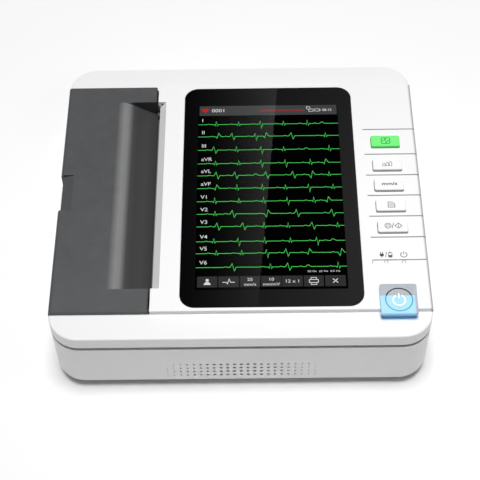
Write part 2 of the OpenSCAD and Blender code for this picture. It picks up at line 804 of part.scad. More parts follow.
module printer_chassis() {
    z0 = platen_z - 15;
    z1 = platen_z + 4.8;
    h = motor_side / 2;
    color("lightsteelblue")
        difference() {
            union() {
                block([chassis_x, platen_y0 - 3, z0], [chassis_x + chassis_t, plate_y + eps, z1]);
                block([chassis_x, platen_y0 - 3, z0], [chassis_x + 20, plate_y + eps, z0 + chassis_t]);
                block([sink_x + 1, platen_y0 - 4, z0], [chassis_x + 20, platen_y0 - 3 + eps, z1]);
                block([idler_x - 5, plate_y, pinion_z - h + 4],
                    [pinion_x + h, plate_y + plate_t, z1]);
            }
            rod_y(idler_x, platen_z, idler_pin_r, plate_y - 1, plate_y + plate_t + 1);
            rod_y(pinion_x, pinion_z, 4, plate_y - 1, plate_y + plate_t + 1);
            block([chassis_x - 1, gear_y0 - 2, platen_z - idler_r - 3], [chassis_x + 3, gear_y1 + 0.2, z1 + 1]);
            block([pinion_x - pinion_r - 2, gear_y0 - 2, z0 - 1],
                [pinion_x + pinion_r + 1.5, gear_y1 + 0.2, z0 + 6]);
        }
}

module head_heatsink() {
    fins = 4;
    color("silver")
        difference() {
            block([sink_x, platen_y0 + 1, platen_z - 9], [sink_x + sink_t, platen_y1 - 1, platen_z + 6]);
            for (k = [0 : fins - 1])
                block([sink_x + 3, platen_y0, platen_z - 7.4 + 3.6 * k],
                    [sink_x + sink_t + 1, platen_y1, platen_z - 5.6 + 3.6 * k]);
        }
}

module thermal_head() {
    color("linen")
        block([head_x, platen_y0 + 1, platen_z - 7], [sink_x, platen_y1 - 1, platen_z + 5]);
}

// Two bowed leaf springs that press the head against the platen.
module head_springs() {
    x0 = sink_x + sink_t;
    x1 = chassis_x;
    color("gainsboro")
        for (y = [print_cy - 70, print_cy + 70])
            translate([0, 0, platen_z - 6])
                linear_extrude(10)
                    polygon([[x1, y - 22], [x1, y - 16], [x0 + 0.6, y - 4], [x0 + 0.6, y + 4],
                        [x1, y + 16], [x1, y + 22], [x1 - 0.6, y + 22], [x1 - 0.6, y + 16.6],
                        [x0, y + 4.3], [x0, y - 4.3], [x1 - 0.6, y - 16.6], [x1 - 0.6, y - 22]]);
}

// Toothed strip under the deck's edge at the paper slot.
module tear_bar() {
    x = deck_x0 + tear_start + 0.6;
    z = deck_z - tear_drop - 1;
    pitch = 2.2;
    count = floor((scoop_len - 8) / pitch);
    y0 = print_cy - count * pitch / 2;
    color("silver")
        translate([0, 0, z - 0.8])
            linear_extrude(0.8)
                polygon(concat([[x + 2, y0 + count * pitch], [x + 2, y0]],
                    [for (k = [0 : count - 1]) each [[x, y0 + k * pitch], [x - 0.7, y0 + (k + 0.5) * pitch]]],
                    [[x, y0 + count * pitch]]));
}

// ---------- Paper ----------

module paper_bin() {
    t = bin_t;
    color("lightgray")
        difference() {
            union() {
                block([bin_x0, bin_y0, bin_z], [bin_x1, bin_y1, bin_z + t]);
                for (y = [bin_y0, bin_y1 - t])
                    block([bin_x0, y, bin_z], [bin_x1, y + t, bin_top]);
                block([bin_x0, bin_y0 + 1, bin_z + 1], [bin_x0 + t, bin_y1 - 1, bin_top]);
                block([bin_x1 - t, bin_y0 + 1, bin_z + 1], [bin_x1, bin_y1 - 1, bin_z + 6]);
                pillars(bin_x0 + 10, bin_y0 + 12, bin_x1 - 10, bin_y1 - 12, floor_top, bin_z + 0.5);
            }
            block([roll_x - spindle_r - fit, bin_y0 - 1, roll_z], [roll_x + spindle_r + fit, bin_y1 + 1, bin_top + 1]);
            rod_y(roll_x, roll_z, spindle_r + fit, bin_y0 - 1, bin_y1 + 1);
        }
}

// Stepped brackets from the bin's ends up to the door's rails.
module rail_brackets() {
    t = bin_t;
    color("lightgray")
        for (side = [[bin_y1, rail_y_rear, 1], [bin_y0, rail_y_front, -1]])
            let (y0 = side[0], step = side[1] - side[2] * rail_w / 2, y1 = side[1] + side[2] * (rail_w / 2 + 1),
                d = side[2] * t)
                along_x([[y0, bin_top - t], [step + d, bin_top - t], [step + d, rail_z - t], [y1, rail_z - t],
                    [y1, rail_z], [step, rail_z], [step, bin_top], [y0, bin_top]], bin_x0, bin_x1);
}

module roll_spindle() {
    color("dimgray") {
        rod_y(roll_x, roll_z, spindle_r, bin_y0 - 1.5, bin_y1 + 1.5);
        rod_y(roll_x, roll_z, core_r, roll_y0 - 1.5, roll_y0 + paper_w + 1.5);
    }
}

module paper_roll() {
    color("mistyrose")
        difference() {
            rod_y(roll_x, roll_z, roll_r, roll_y0, roll_y0 + paper_w);
            rod_y(roll_x, roll_z, core_r, roll_y0 - 1, roll_y0 + paper_w + 1);
        }
}

// The strip of paper from the roll, round the platen and up into the slot.
web_gap = 0.1;
web_dir = atan2(platen_z - roll_z, platen_x - roll_x);
web_span = norm([platen_x - roll_x, platen_z - roll_z]);
web_angle = web_dir - acos((roll_r - platen_r) / web_span);
function web_side(off) =
    let (rr = roll_r + web_gap + off, rp = platen_r + web_gap + off)
    concat([[roll_x + rr * cos(web_angle), roll_z + rr * sin(web_angle)]],
        arc(platen_x, platen_z, rp, web_angle, 0, 10),
        [[platen_x + rp, platen_z + 2]]);
function reversed(list) = [for (k = [len(list) - 1 : -1 : 0]) list[k]];

module paper_web() {
    color("mistyrose")
        along_y(concat(web_side(0), reversed(web_side(0.15))), roll_y0, roll_y0 + paper_w);
}

// ---------- Screen ----------

module screen_glass() {
    color([0.1, 0.1, 0.12, 0.4])
        round_block(glass_x0, glass_y0, glass_x1, glass_y1, glass_r, deck_z - glass_t, deck_z);
}

module screen_mask() {
    color("black")
        difference() {
            round_block(glass_x0, glass_y0, glass_x1, glass_y1, glass_r, glass_bed, deck_z - glass_t);
            block([lcd_x0, lcd_y0, glass_bed - 1], [lcd_x0 + lcd_w, lcd_y0 + lcd_d, deck_z]);
        }
}

module lcd_panel() {
    color("darkslategray")
        block([lcd_x0 - lcd_rim, lcd_y0 - lcd_rim, lcd_top - lcd_t],
            [lcd_x0 + lcd_w + lcd_rim, lcd_y0 + lcd_d + lcd_rim, lcd_top]);
}

module lcd_bracket() {
    z1 = lcd_top - lcd_t;
    x0 = lcd_x0 - lcd_rim;
    x1 = lcd_x0 + lcd_w + lcd_rim;
    y0 = lcd_y0 - lcd_rim;
    y1 = lcd_y0 + lcd_d + lcd_rim;
    color("lightsteelblue")
        difference() {
            union() {
                block([x0 - 2.5, y0 - 2, z1 - bracket_t], [x1 + 3, y1 + 2, z1]);
                for (y = [y0 + 20, y1 - 35], side = [[x0 - 2.5, x0 - 1.5], [x1 + 1.5, x1 + 2.5]])
                    block([side[0], y, z1 - eps], [side[1], y + 15, glass_bed - 1.4]);
            }
            block([x0 + 14, y0 + 16, z1 - 3], [x1 - 14, y1 - 16, z1 + 1]);
        }
}

// Flat cable from the screen down to the main board.
module display_cable() {
    x = lcd_x0 + 60;
    z1 = lcd_top - lcd_t - bracket_t;
    z0 = board_z + board_t + 6;
    y0 = MAIN[3] - 30;
    color("ivory")
        along_x([[y0 - 30, z1 - 0.3], [y0, z1 - 0.3], [y0 + 3, z1 - 3], [y0 + 3, z0],
            [y0 + 3.4, z0], [y0 + 3.4, z1 - 3], [y0 + 0.2, z1], [y0 - 30, z1]], x, x + 24);
}

// ---------- Keys ----------

// A key: the cap above the deck, a flange that holds it in, and a stem over its switch.
module key(cy) {
    round_block(key_cx - key_w / 2, cy - key_d / 2, key_cx + key_w / 2, cy + key_d / 2, 1.6,
        flange_z1 - flange_t, key_top - 0.8);
    hull() {
        round_block(key_cx - key_w / 2, cy - key_d / 2, key_cx + key_w / 2, cy + key_d / 2, 1.6,
            key_top - 1, key_top - 0.6);
        round_block(key_cx - key_w / 2 + 0.5, cy - key_d / 2 + 0.5, key_cx + key_w / 2 - 0.5,
            cy + key_d / 2 - 0.5, 1.2, key_top - 0.05, key_top);
    }
    block([key_cx - key_w / 2 - 1.4, cy - key_d / 2 - 1.4, flange_z1 - flange_t],
        [key_cx + key_w / 2 + 1.4, cy + key_d / 2 + 1.4, flange_z1]);
    translate([key_cx, cy, stem_z])
        cylinder(r = 2.5, h = flange_z1 - stem_z);
}

module key_ecg() {
    color("limegreen")
        key(KEY_Y[0]);
}

module key_gain() {
    color("white")
        key(KEY_Y[1]);
}

module key_speed() {
    color("white")
        key(KEY_Y[2]);
}

module key_page() {
    color("white")
        key(KEY_Y[3]);
}

module key_start() {
    color("white")
        key(KEY_Y[4]);
}

module keypad_mat() {
    color("gainsboro") {
        round_block(key_cx - key_w / 2, KEY_Y[4] - 10, key_cx + key_w / 2, KEY_Y[0] + 10, 3,
            mat_z, mat_z + mat_t);
        for (y = KEY_Y)
            translate([key_cx, y, mat_z + mat_t - eps])
                cylinder(r = 3.2, h = dome_h);
    }
}

module key_board() {
    color("darkgreen")
        block([key_cx - key_w / 2 - 3, neck_y1 - 4, mat_z - board_t],
            [key_cx + key_w / 2 + 3, KEY_Y[0] + 14, mat_z]);
}

module power_cap() {
    color([0.62, 0.88, 0.98])
        difference() {
            union() {
                round_block(power_x0, power_y0, power_x1, power_y1, 2, power_z, power_z + power_t - 0.5);
                hull() {
                    round_block(power_x0, power_y0, power_x1, power_y1, 2,
                        power_z + power_t - 0.6, power_z + power_t - 0.4);
                    round_block(power_x0 + 0.4, power_y0 + 0.4, power_x1 - 0.4, power_y1 - 0.4, 1.6,
                        power_z + power_t - 0.05, power_z + power_t);
                }
                round_block(power_cx - neck_w / 2, neck_y0, power_cx + neck_w / 2, neck_y1, 1.6,
                    flange_z1 - flange_t, power_z + 1);
                block([power_cx - neck_w / 2 - 1.2, neck_y0 - 1.2, flange_z1 - flange_t],
                    [power_cx + neck_w / 2 + 1.2, neck_y1 + 1.2, flange_z1]);
            }
            translate([power_cx, ring_y, power_z + power_t - ring_t])
                difference() {
                    cylinder(r = ring_r + ring_w / 2, h = 1);
                    translate([0, 0, -1])
                        cylinder(r = ring_r - ring_w / 2, h = 3);
                }
        }
}

module power_ring() {
    color("steelblue")
        translate([power_cx, ring_y, power_z + power_t - ring_t])
            difference() {
                cylinder(r = ring_r + ring_w / 2, h = ring_t);
                translate([0, 0, -1])
                    cylinder(r = ring_r - ring_w / 2, h = 3);
            }
}

module power_light_guide() {
    color("lightcyan")
        round_block(power_cx - neck_w / 2 + 2, neck_y0 + 2, power_cx + neck_w / 2 - 2, neck_y1 - 4.4, 1.5,
            mat_z - board_t + 0.1, flange_z1 - flange_t - key_travel - 0.3);
}

module indicator_windows() {
    color("palegreen")
        for (x = WINDOW_X)
            translate([x, strip_y1 - strip_w / 2, mat_z])
                cylinder(r = 1.3, h = deck_z - strip_d - mat_z);
}

// ---------- Inside ----------

module speaker() {
    y0 = -half_d + wall + 0.3;
    z = grille_z + grille_dz * (grille_rows - 1) / 2;
    color("dimgray")
        difference() {
            union() {
                block([-grille_cols * grille_dx / 2 - 2, y0, z - 12],
                    [grille_cols * grille_dx / 2 + 2, y0 + 2, z + 12]);
                rod_y(0, z, 18, y0 + 1, y0 + 9);
                rod_y(0, z, 11, y0 + 8, y0 + 16);
            }
            translate([0, y0 - eps, z])
                rotate([-90, 0, 0])
                    cylinder(r1 = 16, r2 = 6, h = 7);
            for (side = [-1, 1])
                block([side * 42 - 21, y0 - 1, z - 9], [side * 42 + 21, y0 + 1.2, z + 9]);
        }
}

// A circuit board with rows of parts on it.
module circuit_board(x0, y0, x1, y1, z) {
    block([x0, y0, z], [x1, y1, z + board_t]);
    nx = 4;
    ny = 3;
    for (i = [0 : nx - 1], j = [0 : ny - 1])
        let (w = 9 + 5 * ((i + 2 * j) % 3), h = 1.2 + 1.1 * ((2 * i + j) % 3),
            cx = x0 + (x1 - x0) * (i + 0.5) / nx, cy = y0 + (y1 - y0) * (j + 0.5) / ny)
            block([cx - w / 2, cy - w / 2.6, z + board_t - eps], [cx + w / 2, cy + w / 2.6, z + board_t + h]);
}

module main_board() {
    color("darkgreen")
        circuit_board(MAIN[0], MAIN[1], MAIN[2], MAIN[3], board_z);
}

module ecg_module() {
    x1 = half_w - patient_depth - 12;
    color("silver")
        block([x1 - 30, patient_y - 30, floor_top], [x1, patient_y + 30, floor_top + 36]);
}

module power_supply() {
    z = floor_top + 0.5;
    color("khaki") {
        block([72, 62, z], [118, panel_y - 30, z + board_t]);
        block([76, 68, z + board_t - eps], [96, 92, z + 26]);
        block([102, 68, z + board_t - eps], [106, 118, z + 30]);
        for (y = [100, 114])
            translate([86, y, z])
                cylinder(r = 6, h = 24);
    }
}

module battery_pack() {
    inset = hatch_lip + 1;
    color("steelblue")
        block([hatch_x + inset, hatch_y + inset, base_z + 2.2],
            [hatch_x + hatch_w - inset, hatch_y + hatch_d - inset, floor_top + 22]);
}

module battery_hatch() {
    color("whitesmoke")
        difference() {
            block([hatch_x + fit, hatch_y + fit, base_z], [hatch_x + hatch_w - fit, hatch_y + hatch_d - fit, base_z + 1.5]);
            translate([hatch_x + hatch_w / 2, hatch_y + 1.7, base_z - 1])
                cylinder(r = 0.8, h = 4);
            for (k = [-3 : 3])
                block([hatch_x + hatch_w / 2 + 5 * k - 1, hatch_y + hatch_d - 16, base_z - 1],
                    [hatch_x + hatch_w / 2 + 5 * k + 1, hatch_y + hatch_d - 6, base_z + 0.6]);
        }
}

module hatch_screw() {
    color("silver")
        translate([hatch_x + hatch_w / 2, hatch_y + 1.7, base_z + 0.05])
            difference() {
                cylinder(r = 0.8, h = 1.45);
                translate([-1, -0.15, -eps])
                    cube([2, 0.3, 0.4]);
            }
}

module rear_panel() {
    color("silver")
        difference() {
            block([panel_x0 + 0.2, panel_y - panel_t, panel_z0 + 0.2], [panel_x1 - 0.2, panel_y, panel_z1 - 0.2]);
            block([inlet_x - 14, panel_y - 5, panel_cz - 10.5], [inlet_x + 14, panel_y + 5, panel_cz + 10.5]);
            for (z = [panel_cz - 9, panel_cz + 9])
                rod_y(fuse_x, z, 6, panel_y - 5, panel_y + 5);
            rod_y(stud_x, panel_cz, 3.1, panel_y - 5, panel_y + 5);
            block([port_x - 26, panel_y - 5, panel_cz - 8], [port_x + 26, panel_y + 5, panel_cz + 8]);
        }
}

module mains_inlet() {
    y1 = panel_y + 2.5;
    color("black")
        difference() {
            union() {
                block([inlet_x - 13.8, panel_y - 22, panel_cz - 10.3], [inlet_x + 13.8, y1, panel_cz + 10.3]);
                block([inlet_x - 15.8, panel_y, panel_cz - 12.3], [inlet_x + 15.8, y1, panel_cz + 12.3]);
            }
            along_y([[inlet_x - 12, panel_cz - 8], [inlet_x + 12, panel_cz - 8], [inlet_x + 12, panel_cz + 3.5],
                [inlet_x + 7.5, panel_cz + 8], [inlet_x - 7.5, panel_cz + 8], [inlet_x - 12, panel_cz + 3.5]],
                panel_y - 14, y1 + 1);
        }
    color("silver")
        for (pin = [[-7, -1], [7, -1], [0, 3]])
            block([inlet_x + pin[0] - 1, panel_y - 15, panel_cz + pin[1] - 2],
                [inlet_x + pin[0] + 1, panel_y - 1, panel_cz + pin[1] + 2]);
}

module fuse_holders() {
    color("black")
        for (z = [panel_cz - 9, panel_cz + 9])
            difference() {
                union() {
                    rod_y(fuse_x, z, 5.9, panel_y - 24, panel_y + 1);
                    rod_y(fuse_x, z, 7.4, panel_y, panel_y + 2.5);
                }
                block([fuse_x - 4, panel_y + 1.5, z - 0.6], [fuse_x + 4, panel_y + 3, z + 0.6]);
            }
}

module earth_stud() {
    color("goldenrod") {
        rod_y(stud_x, panel_cz, 3, panel_y - 8, panel_y + 5);
        rod_y(stud_x, panel_cz, 5, panel_y, panel_y + 1.6);
    }
}

module data_ports() {
    color("silver")
        difference() {
            block([port_x - 25.8, panel_y - 18, panel_cz - 7.8], [port_x + 25.8, panel_y + 0.5, panel_cz + 7.8]);
            block([port_x - 23, panel_y - 13, panel_cz - 5], [port_x - 10, panel_y + 1, panel_cz + 5]);
            for (x = [port_x + 2, port_x + 18])
                difference() {
                    block([x - 6.5, panel_y - 9, panel_cz - 2.6], [x + 6.5, panel_y + 1, panel_cz + 2.6]);
                    block([x - 5.6, panel_y - 10, panel_cz - 0.2], [x + 5.6, panel_y - 0.5, panel_cz + 1.7]);
                }
        }
}

module patient_socket() {
    x1 = half_w - patient_depth;
    color("silver")
        difference() {
            union() {
                block([x1, patient_y - 20, patient_z - 7], [x1 + 1, patient_y + 20, patient_z + 7]);
                along_x([[patient_y - 12.4, patient_z - 4], [patient_y + 12.4, patient_z - 4],
                    [patient_y + 13.8, patient_z + 4], [patient_y - 13.8, patient_z + 4]], x1 - 11, x1 + 6);
            }
            for (k = [0 : 7])
                translate([x1 + 2, patient_y + (k - 3.5) * 2.76, patient_z + 1.4])
                    rotate([0, 90, 0])
                        cylinder(r = 0.6, h = 6, $fn = 8);
            for (k = [0 : 6])
                translate([x1 + 2, patient_y + (k - 3) * 2.76, patient_z - 1.4])
                    rotate([0, 90, 0])
                        cylinder(r = 0.6, h = 6, $fn = 8);
        }
}

module rubber_feet() {
    color("dimgray")
        for (x = [-foot_x, foot_x], y = [-foot_y, foot_y])
            translate([x, y, 0])
                difference() {
                    cylinder(r1 = foot_r - 0.8, r2 = foot_r, h = base_z + foot_sink);
                    translate([0, 0, -eps])
                        cylinder(r = 3, h = 0.8);
                }
}

module case_screws() {
    color("silver")
        for (x = [-post_x, post_x], y = [-post_y, post_y])
            translate([x, y, base_z])
                difference() {
                    union() {
                        cylinder(r = screw_head_r, h = screw_head_h);
                        cylinder(r = screw_r, h = wall + screw_reach);
                    }
                    translate([0, 0, -eps])
                        cylinder(r = 1.4, h = 1, $fn = 6);
                }
}

lower_case();
base_plate();
seam_gasket();
upper_case();
deck_cover();
standoffs();
printer_door();
door_runners();
guide_rails();
door_detents();
platen_bushes();
platen_shaft();
platen_sleeve();
platen_gear();
idler_gear();
idler_pin();
motor_pinion();
stepper_motor();
printer_chassis();
head_heatsink();
thermal_head();
head_springs();
tear_bar();
paper_bin();
rail_brackets();
roll_spindle();
paper_roll();
paper_web();
screen_glass();
screen_mask();
lcd_panel();
lcd_bracket();
display_cable();
key_ecg();
key_gain();
key_speed();
key_page();
key_start();
keypad_mat();
key_board();
power_cap();
power_ring();
power_light_guide();
indicator_windows();
speaker();
main_board();
ecg_module();
power_supply();
battery_pack();
battery_hatch();
hatch_screw();
rear_panel();
mains_inlet();
fuse_holders();
earth_stud();
patient_socket();
data_ports();
rubber_feet();
case_screws();
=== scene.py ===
"""Looks of a portable twelve-lead ECG machine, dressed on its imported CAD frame.

The machine is a white case with a sliding printer door on the left, a flush glass screen in the
middle and a column of keys on the right. Lengths in the classes are millimetres in the part's
own frame, apart from the scale and depth of surface textures, which go by the metre. The table
is at zero height and the front faces minus Y.
"""

import logging
import math
from dataclasses import dataclass
from enum import Enum

import bmesh
import bpy
from mathutils import Matrix, Vector


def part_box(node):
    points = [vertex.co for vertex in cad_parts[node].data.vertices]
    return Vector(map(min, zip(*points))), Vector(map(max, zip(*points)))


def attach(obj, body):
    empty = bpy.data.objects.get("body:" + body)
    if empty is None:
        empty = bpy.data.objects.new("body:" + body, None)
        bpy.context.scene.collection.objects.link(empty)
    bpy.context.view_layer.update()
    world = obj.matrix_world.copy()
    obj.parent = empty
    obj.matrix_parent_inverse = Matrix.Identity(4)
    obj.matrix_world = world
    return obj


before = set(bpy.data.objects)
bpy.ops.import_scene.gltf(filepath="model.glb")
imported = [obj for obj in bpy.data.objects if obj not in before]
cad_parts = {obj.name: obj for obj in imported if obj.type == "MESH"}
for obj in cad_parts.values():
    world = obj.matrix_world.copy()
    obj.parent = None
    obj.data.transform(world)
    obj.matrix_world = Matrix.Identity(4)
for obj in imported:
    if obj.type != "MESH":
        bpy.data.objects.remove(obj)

LOG = logging.getLogger("ecg_machine")
MM = 0.001
WHITE = (1.0, 1.0, 1.0, 1.0)

Colour = tuple[float, float, float]
Point = tuple[float, float]
Feed = bpy.types.NodeSocket | float | tuple[float, ...]


# Shader building -----------------------------------------------------------------------------


class Wiring:
    """Adds and joins nodes in one node tree, laid out from left to right."""

    def __init__(self, tree: bpy.types.NodeTree) -> None:
        """Starts on a tree.

        Args:
            tree: The material's or the group's node tree.
        """
        self.tree = tree
        self.column = 0

    def add(self, kind: str, **settings: object) -> bpy.types.Node:
        """Makes one node.

        Args:
            kind: Blender's type name of the node.
            **settings: The node's own properties.

        Returns:
            The new node.
        """
        node = self.tree.nodes.new(kind)
        node.location = (self.column * 200.0, 0.0)
        self.column += 1
        for key, value in settings.items():
            setattr(node, key, value)
        return node

    def feed(self, target: bpy.types.NodeSocket, source: Feed) -> None:
        """Links an output to an input, or sets the input's own value.

        Args:
            target: The input socket.
            source: An output socket, a number or a tuple of numbers.
        """
        if isinstance(source, bpy.types.NodeSocket):
            self.tree.links.new(source, target)
        elif isinstance(source, tuple) and len(source) == 3 and target.type == "RGBA":
            target.default_value = (*source, 1.0)
        else:
            target.default_value = source

    def math(self, operation: str, first: Feed, second: Feed = 0.0) -> bpy.types.NodeSocket:
        """Joins two numbers.

        Args:
            operation: Blender's name of the operation.
            first: The first number.
            second: The second number.

        Returns:
            The result's socket.
        """
        node = self.add("ShaderNodeMath", operation=operation)
        self.feed(node.inputs[0], first)
        self.feed(node.inputs[1], second)
        return node.outputs[0]

    def between(self, value: Feed, low: float, high: float) -> bpy.types.NodeSocket:
        """Maps a number from low..high to 0..1, held at both ends.

        Args:
            value: The number.
            low: What becomes 0.
            high: What becomes 1.

        Returns:
            The mask's socket.
        """
        node = self.add("ShaderNodeMapRange", clamp=True)
        self.feed(node.inputs[0], value)
        node.inputs[1].default_value = low
        node.inputs[2].default_value = high
        return node.outputs[0]

    def blend(self, share: Feed, first: Feed, second: Feed) -> bpy.types.NodeSocket:
        """Mixes two colours.

        Args:
            share: How much of the second colour, 0 to 1.
            first: The first colour.
            second: The second colour.

        Returns:
            The mixed colour's socket.
        """
        node = self.add("ShaderNodeMix", data_type="RGBA")
        self.feed(node.inputs[0], share)
        self.feed(node.inputs[6], first)
        self.feed(node.inputs[7], second)
        return node.outputs[2]

    def noise(self, scale: Feed, detail: float = 2.0, vector: Feed | None = None) -> bpy.types.NodeSocket:
        """Smooth noise over the object's own coordinates.

        Args:
            scale: Features per metre.
            detail: Octaves.
            vector: Other coordinates to use.

        Returns:
            The noise value's socket.
        """
        node = self.add("ShaderNodeTexNoise")
        self.feed(node.inputs["Vector"], vector if vector is not None else self.place())
        self.feed(node.inputs["Scale"], scale)
        node.inputs["Detail"].default_value = detail
        return node.outputs["Fac"]

    def place(self) -> bpy.types.NodeSocket:
        """The point on the surface in the object's own frame."""
        return self.add("ShaderNodeTexCoord").outputs["Object"]

    def axes(self) -> bpy.types.Node:
        """The point's three coordinates as separate outputs."""
        node = self.add("ShaderNodeSeparateXYZ")
        self.feed(node.inputs[0], self.place())
        return node

    def bump(self, height: Feed, strength: float, distance: float) -> bpy.types.NodeSocket:
        """Turns a height into a normal.

        Args:
            height: The height's socket.
            strength: Share of the effect.
            distance: Depth of the relief in metres.

        Returns:
            The normal's socket.
        """
        node = self.add("ShaderNodeBump")
        node.inputs["Strength"].default_value = strength
        node.inputs["Distance"].default_value = distance
        self.feed(node.inputs["Height"], height)
        return node.outputs["Normal"]


class Effect(Enum):
    """The shader groups that several finishes share."""

    MOULDED_SKIN = "Moulded skin"
    BRUSHED_GRAIN = "Brushed grain"
    HANDLING = "Handling marks"
    DUST = "Settled dust"


class EffectShop:
    """Builds each shared shader group once and places copies of it."""

    def __init__(self) -> None:
        """Starts with no groups built."""
        self.built: dict[Effect, bpy.types.NodeTree] = {}

    def place(self, net: Wiring, effect: Effect, **values: Feed) -> bpy.types.Node:
        """Puts a group into a material.

        Args:
            net: The material's wiring.
            effect: Which group.
            **values: The group's inputs, with underscores for spaces.

        Returns:
            The group node.
        """
        if effect not in self.built:
            self.built[effect] = self.build(effect)
        node = net.add("ShaderNodeGroup", node_tree=self.built[effect])
        for name, value in values.items():
            net.feed(node.inputs[name.replace("_", " ")], value)
        return node

    def build(self, effect: Effect) -> bpy.types.NodeTree:
        """Makes one group's node tree.

        Args:
            effect: Which group.

        Returns:
            The new tree.
        """
        tree = bpy.data.node_groups.new(effect.value, "ShaderNodeTree")
        makers = {
            Effect.MOULDED_SKIN: self.moulded_skin,
            Effect.BRUSHED_GRAIN: self.brushed_grain,
            Effect.HANDLING: self.handling,
            Effect.DUST: self.dust,
        }
        makers[effect](tree)
        return tree

    @staticmethod
    def sockets(tree: bpy.types.NodeTree, takes: dict[str, Feed], gives: tuple[str, ...]) -> None:
        """Adds a group's inputs and outputs.

        Args:
            tree: The group's tree.
            takes: The inputs' names and their values when nothing is joined to them.
            gives: The outputs' names; the one named Color is a colour, the others are numbers.
        """
        kinds = {3: "NodeSocketVector", 4: "NodeSocketColor"}
        for name, default in takes.items():
            kind = kinds[len(default)] if isinstance(default, tuple) else "NodeSocketFloat"
            made = tree.interface.new_socket(name=name, in_out="INPUT", socket_type=kind)
            made.default_value = default
        for name in gives:
            kind = "NodeSocketColor" if name == "Color" else "NodeSocketFloat"
            tree.interface.new_socket(name=name, in_out="OUTPUT", socket_type=kind)

    def moulded_skin(self, tree: bpy.types.NodeTree) -> None:
        """Spark-eroded mould texture with slight flow marks and uneven gloss."""
        self.sockets(tree, {"Base": (0.8, 0.8, 0.8, 1.0), "Tint": (0.7, 0.7, 0.7, 1.0),
                            "Tint share": 0.1, "Grain scale": 2500.0, "Roughness": 0.4,
                            "Roughness spread": 0.08}, ("Color", "Roughness out", "Height"))
        net = Wiring(tree)
        entry = net.add("NodeGroupInput")
        grain = net.noise(entry.outputs["Grain scale"], 3.0)
        flow = net.noise(9.0, 2.0)
        cloud = net.between(flow, 0.35, 0.75)
        share = net.math("MULTIPLY", cloud, entry.outputs["Tint share"])
        speck = net.math("MULTIPLY", net.between(grain, 0.45, 0.75), 0.25)
        share = net.math("ADD", share, net.math("MULTIPLY", speck, entry.outputs["Tint share"]))
        colour = net.blend(share, entry.outputs["Base"], entry.outputs["Tint"])
        uneven = net.math("SUBTRACT", net.noise(60.0, 2.0), 0.5)
        uneven = net.math("MULTIPLY", uneven, entry.outputs["Roughness spread"])
        rough = net.math("ADD", entry.outputs["Roughness"], uneven)
        leave = net.add("NodeGroupOutput")
        net.feed(leave.inputs["Color"], colour)
        net.feed(leave.inputs["Roughness out"], rough)
        net.feed(leave.inputs["Height"], grain)

    def brushed_grain(self, tree: bpy.types.NodeTree) -> None:
        """Fine lines drawn out along one axis, as on rolled, turned or drawn metal."""
        self.sockets(tree, {"Base": (0.6, 0.6, 0.6, 1.0), "Dark": (0.4, 0.4, 0.4, 1.0),
                            "Stretch": (1.0, 0.04, 1.0), "Line scale": 1800.0, "Roughness": 0.3},
                     ("Color", "Roughness out", "Height"))
        net = Wiring(tree)
        entry = net.add("NodeGroupInput")
        drawn = net.add("ShaderNodeVectorMath", operation="MULTIPLY")
        net.feed(drawn.inputs[0], net.place())
        net.feed(drawn.inputs[1], entry.outputs["Stretch"])
        lines = net.noise(entry.outputs["Line scale"], 2.0, drawn.outputs[0])
        blotch = net.noise(35.0, 3.0)
        share = net.math("MULTIPLY", net.between(lines, 0.4, 0.7), 0.55)
        share = net.math("ADD", share, net.math("MULTIPLY", net.between(blotch, 0.5, 0.8), 0.25))
        colour = net.blend(share, entry.outputs["Base"], entry.outputs["Dark"])
        rough = net.math("ADD", entry.outputs["Roughness"], net.math("MULTIPLY", lines, 0.16))
        leave = net.add("NodeGroupOutput")
        net.feed(leave.inputs["Color"], colour)
        net.feed(leave.inputs["Roughness out"], rough)
        net.feed(leave.inputs["Height"], lines)

    def handling(self, tree: bpy.types.NodeTree) -> None:
        """Patches polished or greased by fingers, and a few hair scratches."""
        self.sockets(tree, {"Roughness": 0.4, "Polish": 0.1, "Scratch": 0.1}, ("Roughness out",))
        net = Wiring(tree)
        entry = net.add("NodeGroupInput")
        patch = net.between(net.noise(28.0, 3.0), 0.5, 0.75)
        drawn = net.add("ShaderNodeVectorMath", operation="MULTIPLY")
        net.feed(drawn.inputs[0], net.place())
        drawn.inputs[1].default_value = (1.0, 0.05, 1.0)
        hair = net.between(net.noise(900.0, 1.0, drawn.outputs[0]), 0.72, 0.78)
        hair = net.math("MULTIPLY", hair, net.between(net.noise(40.0, 1.0), 0.5, 0.6))
        rough = net.math("SUBTRACT", entry.outputs["Roughness"],
                         net.math("MULTIPLY", patch, entry.outputs["Polish"]))
        rough = net.math("ADD", rough, net.math("MULTIPLY", hair, entry.outputs["Scratch"]))
        leave = net.add("NodeGroupOutput")
        net.feed(leave.inputs["Roughness out"], rough)

    def dust(self, tree: bpy.types.NodeTree) -> None:
        """A thin veil of dust on faces that look up."""
        self.sockets(tree, {"Base": (0.5, 0.5, 0.5, 1.0), "Dust": (0.55, 0.53, 0.5, 1.0),
                            "Amount": 0.1}, ("Color",))
        net = Wiring(tree)
        entry = net.add("NodeGroupInput")
        facing = net.add("ShaderNodeSeparateXYZ")
        net.feed(facing.inputs[0], net.add("ShaderNodeNewGeometry").outputs["Normal"])
        up = net.between(facing.outputs["Z"], 0.3, 1.0)
        patchy = net.between(net.noise(120.0, 4.0), 0.3, 0.8)
        share = net.math("MULTIPLY", net.math("MULTIPLY", up, patchy), entry.outputs["Amount"])
        leave = net.add("NodeGroupOutput")
        net.feed(leave.inputs["Color"], net.blend(share, entry.outputs["Base"], entry.outputs["Dust"]))


EFFECTS = EffectShop()
MADE: dict[str, bpy.types.Material] = {}


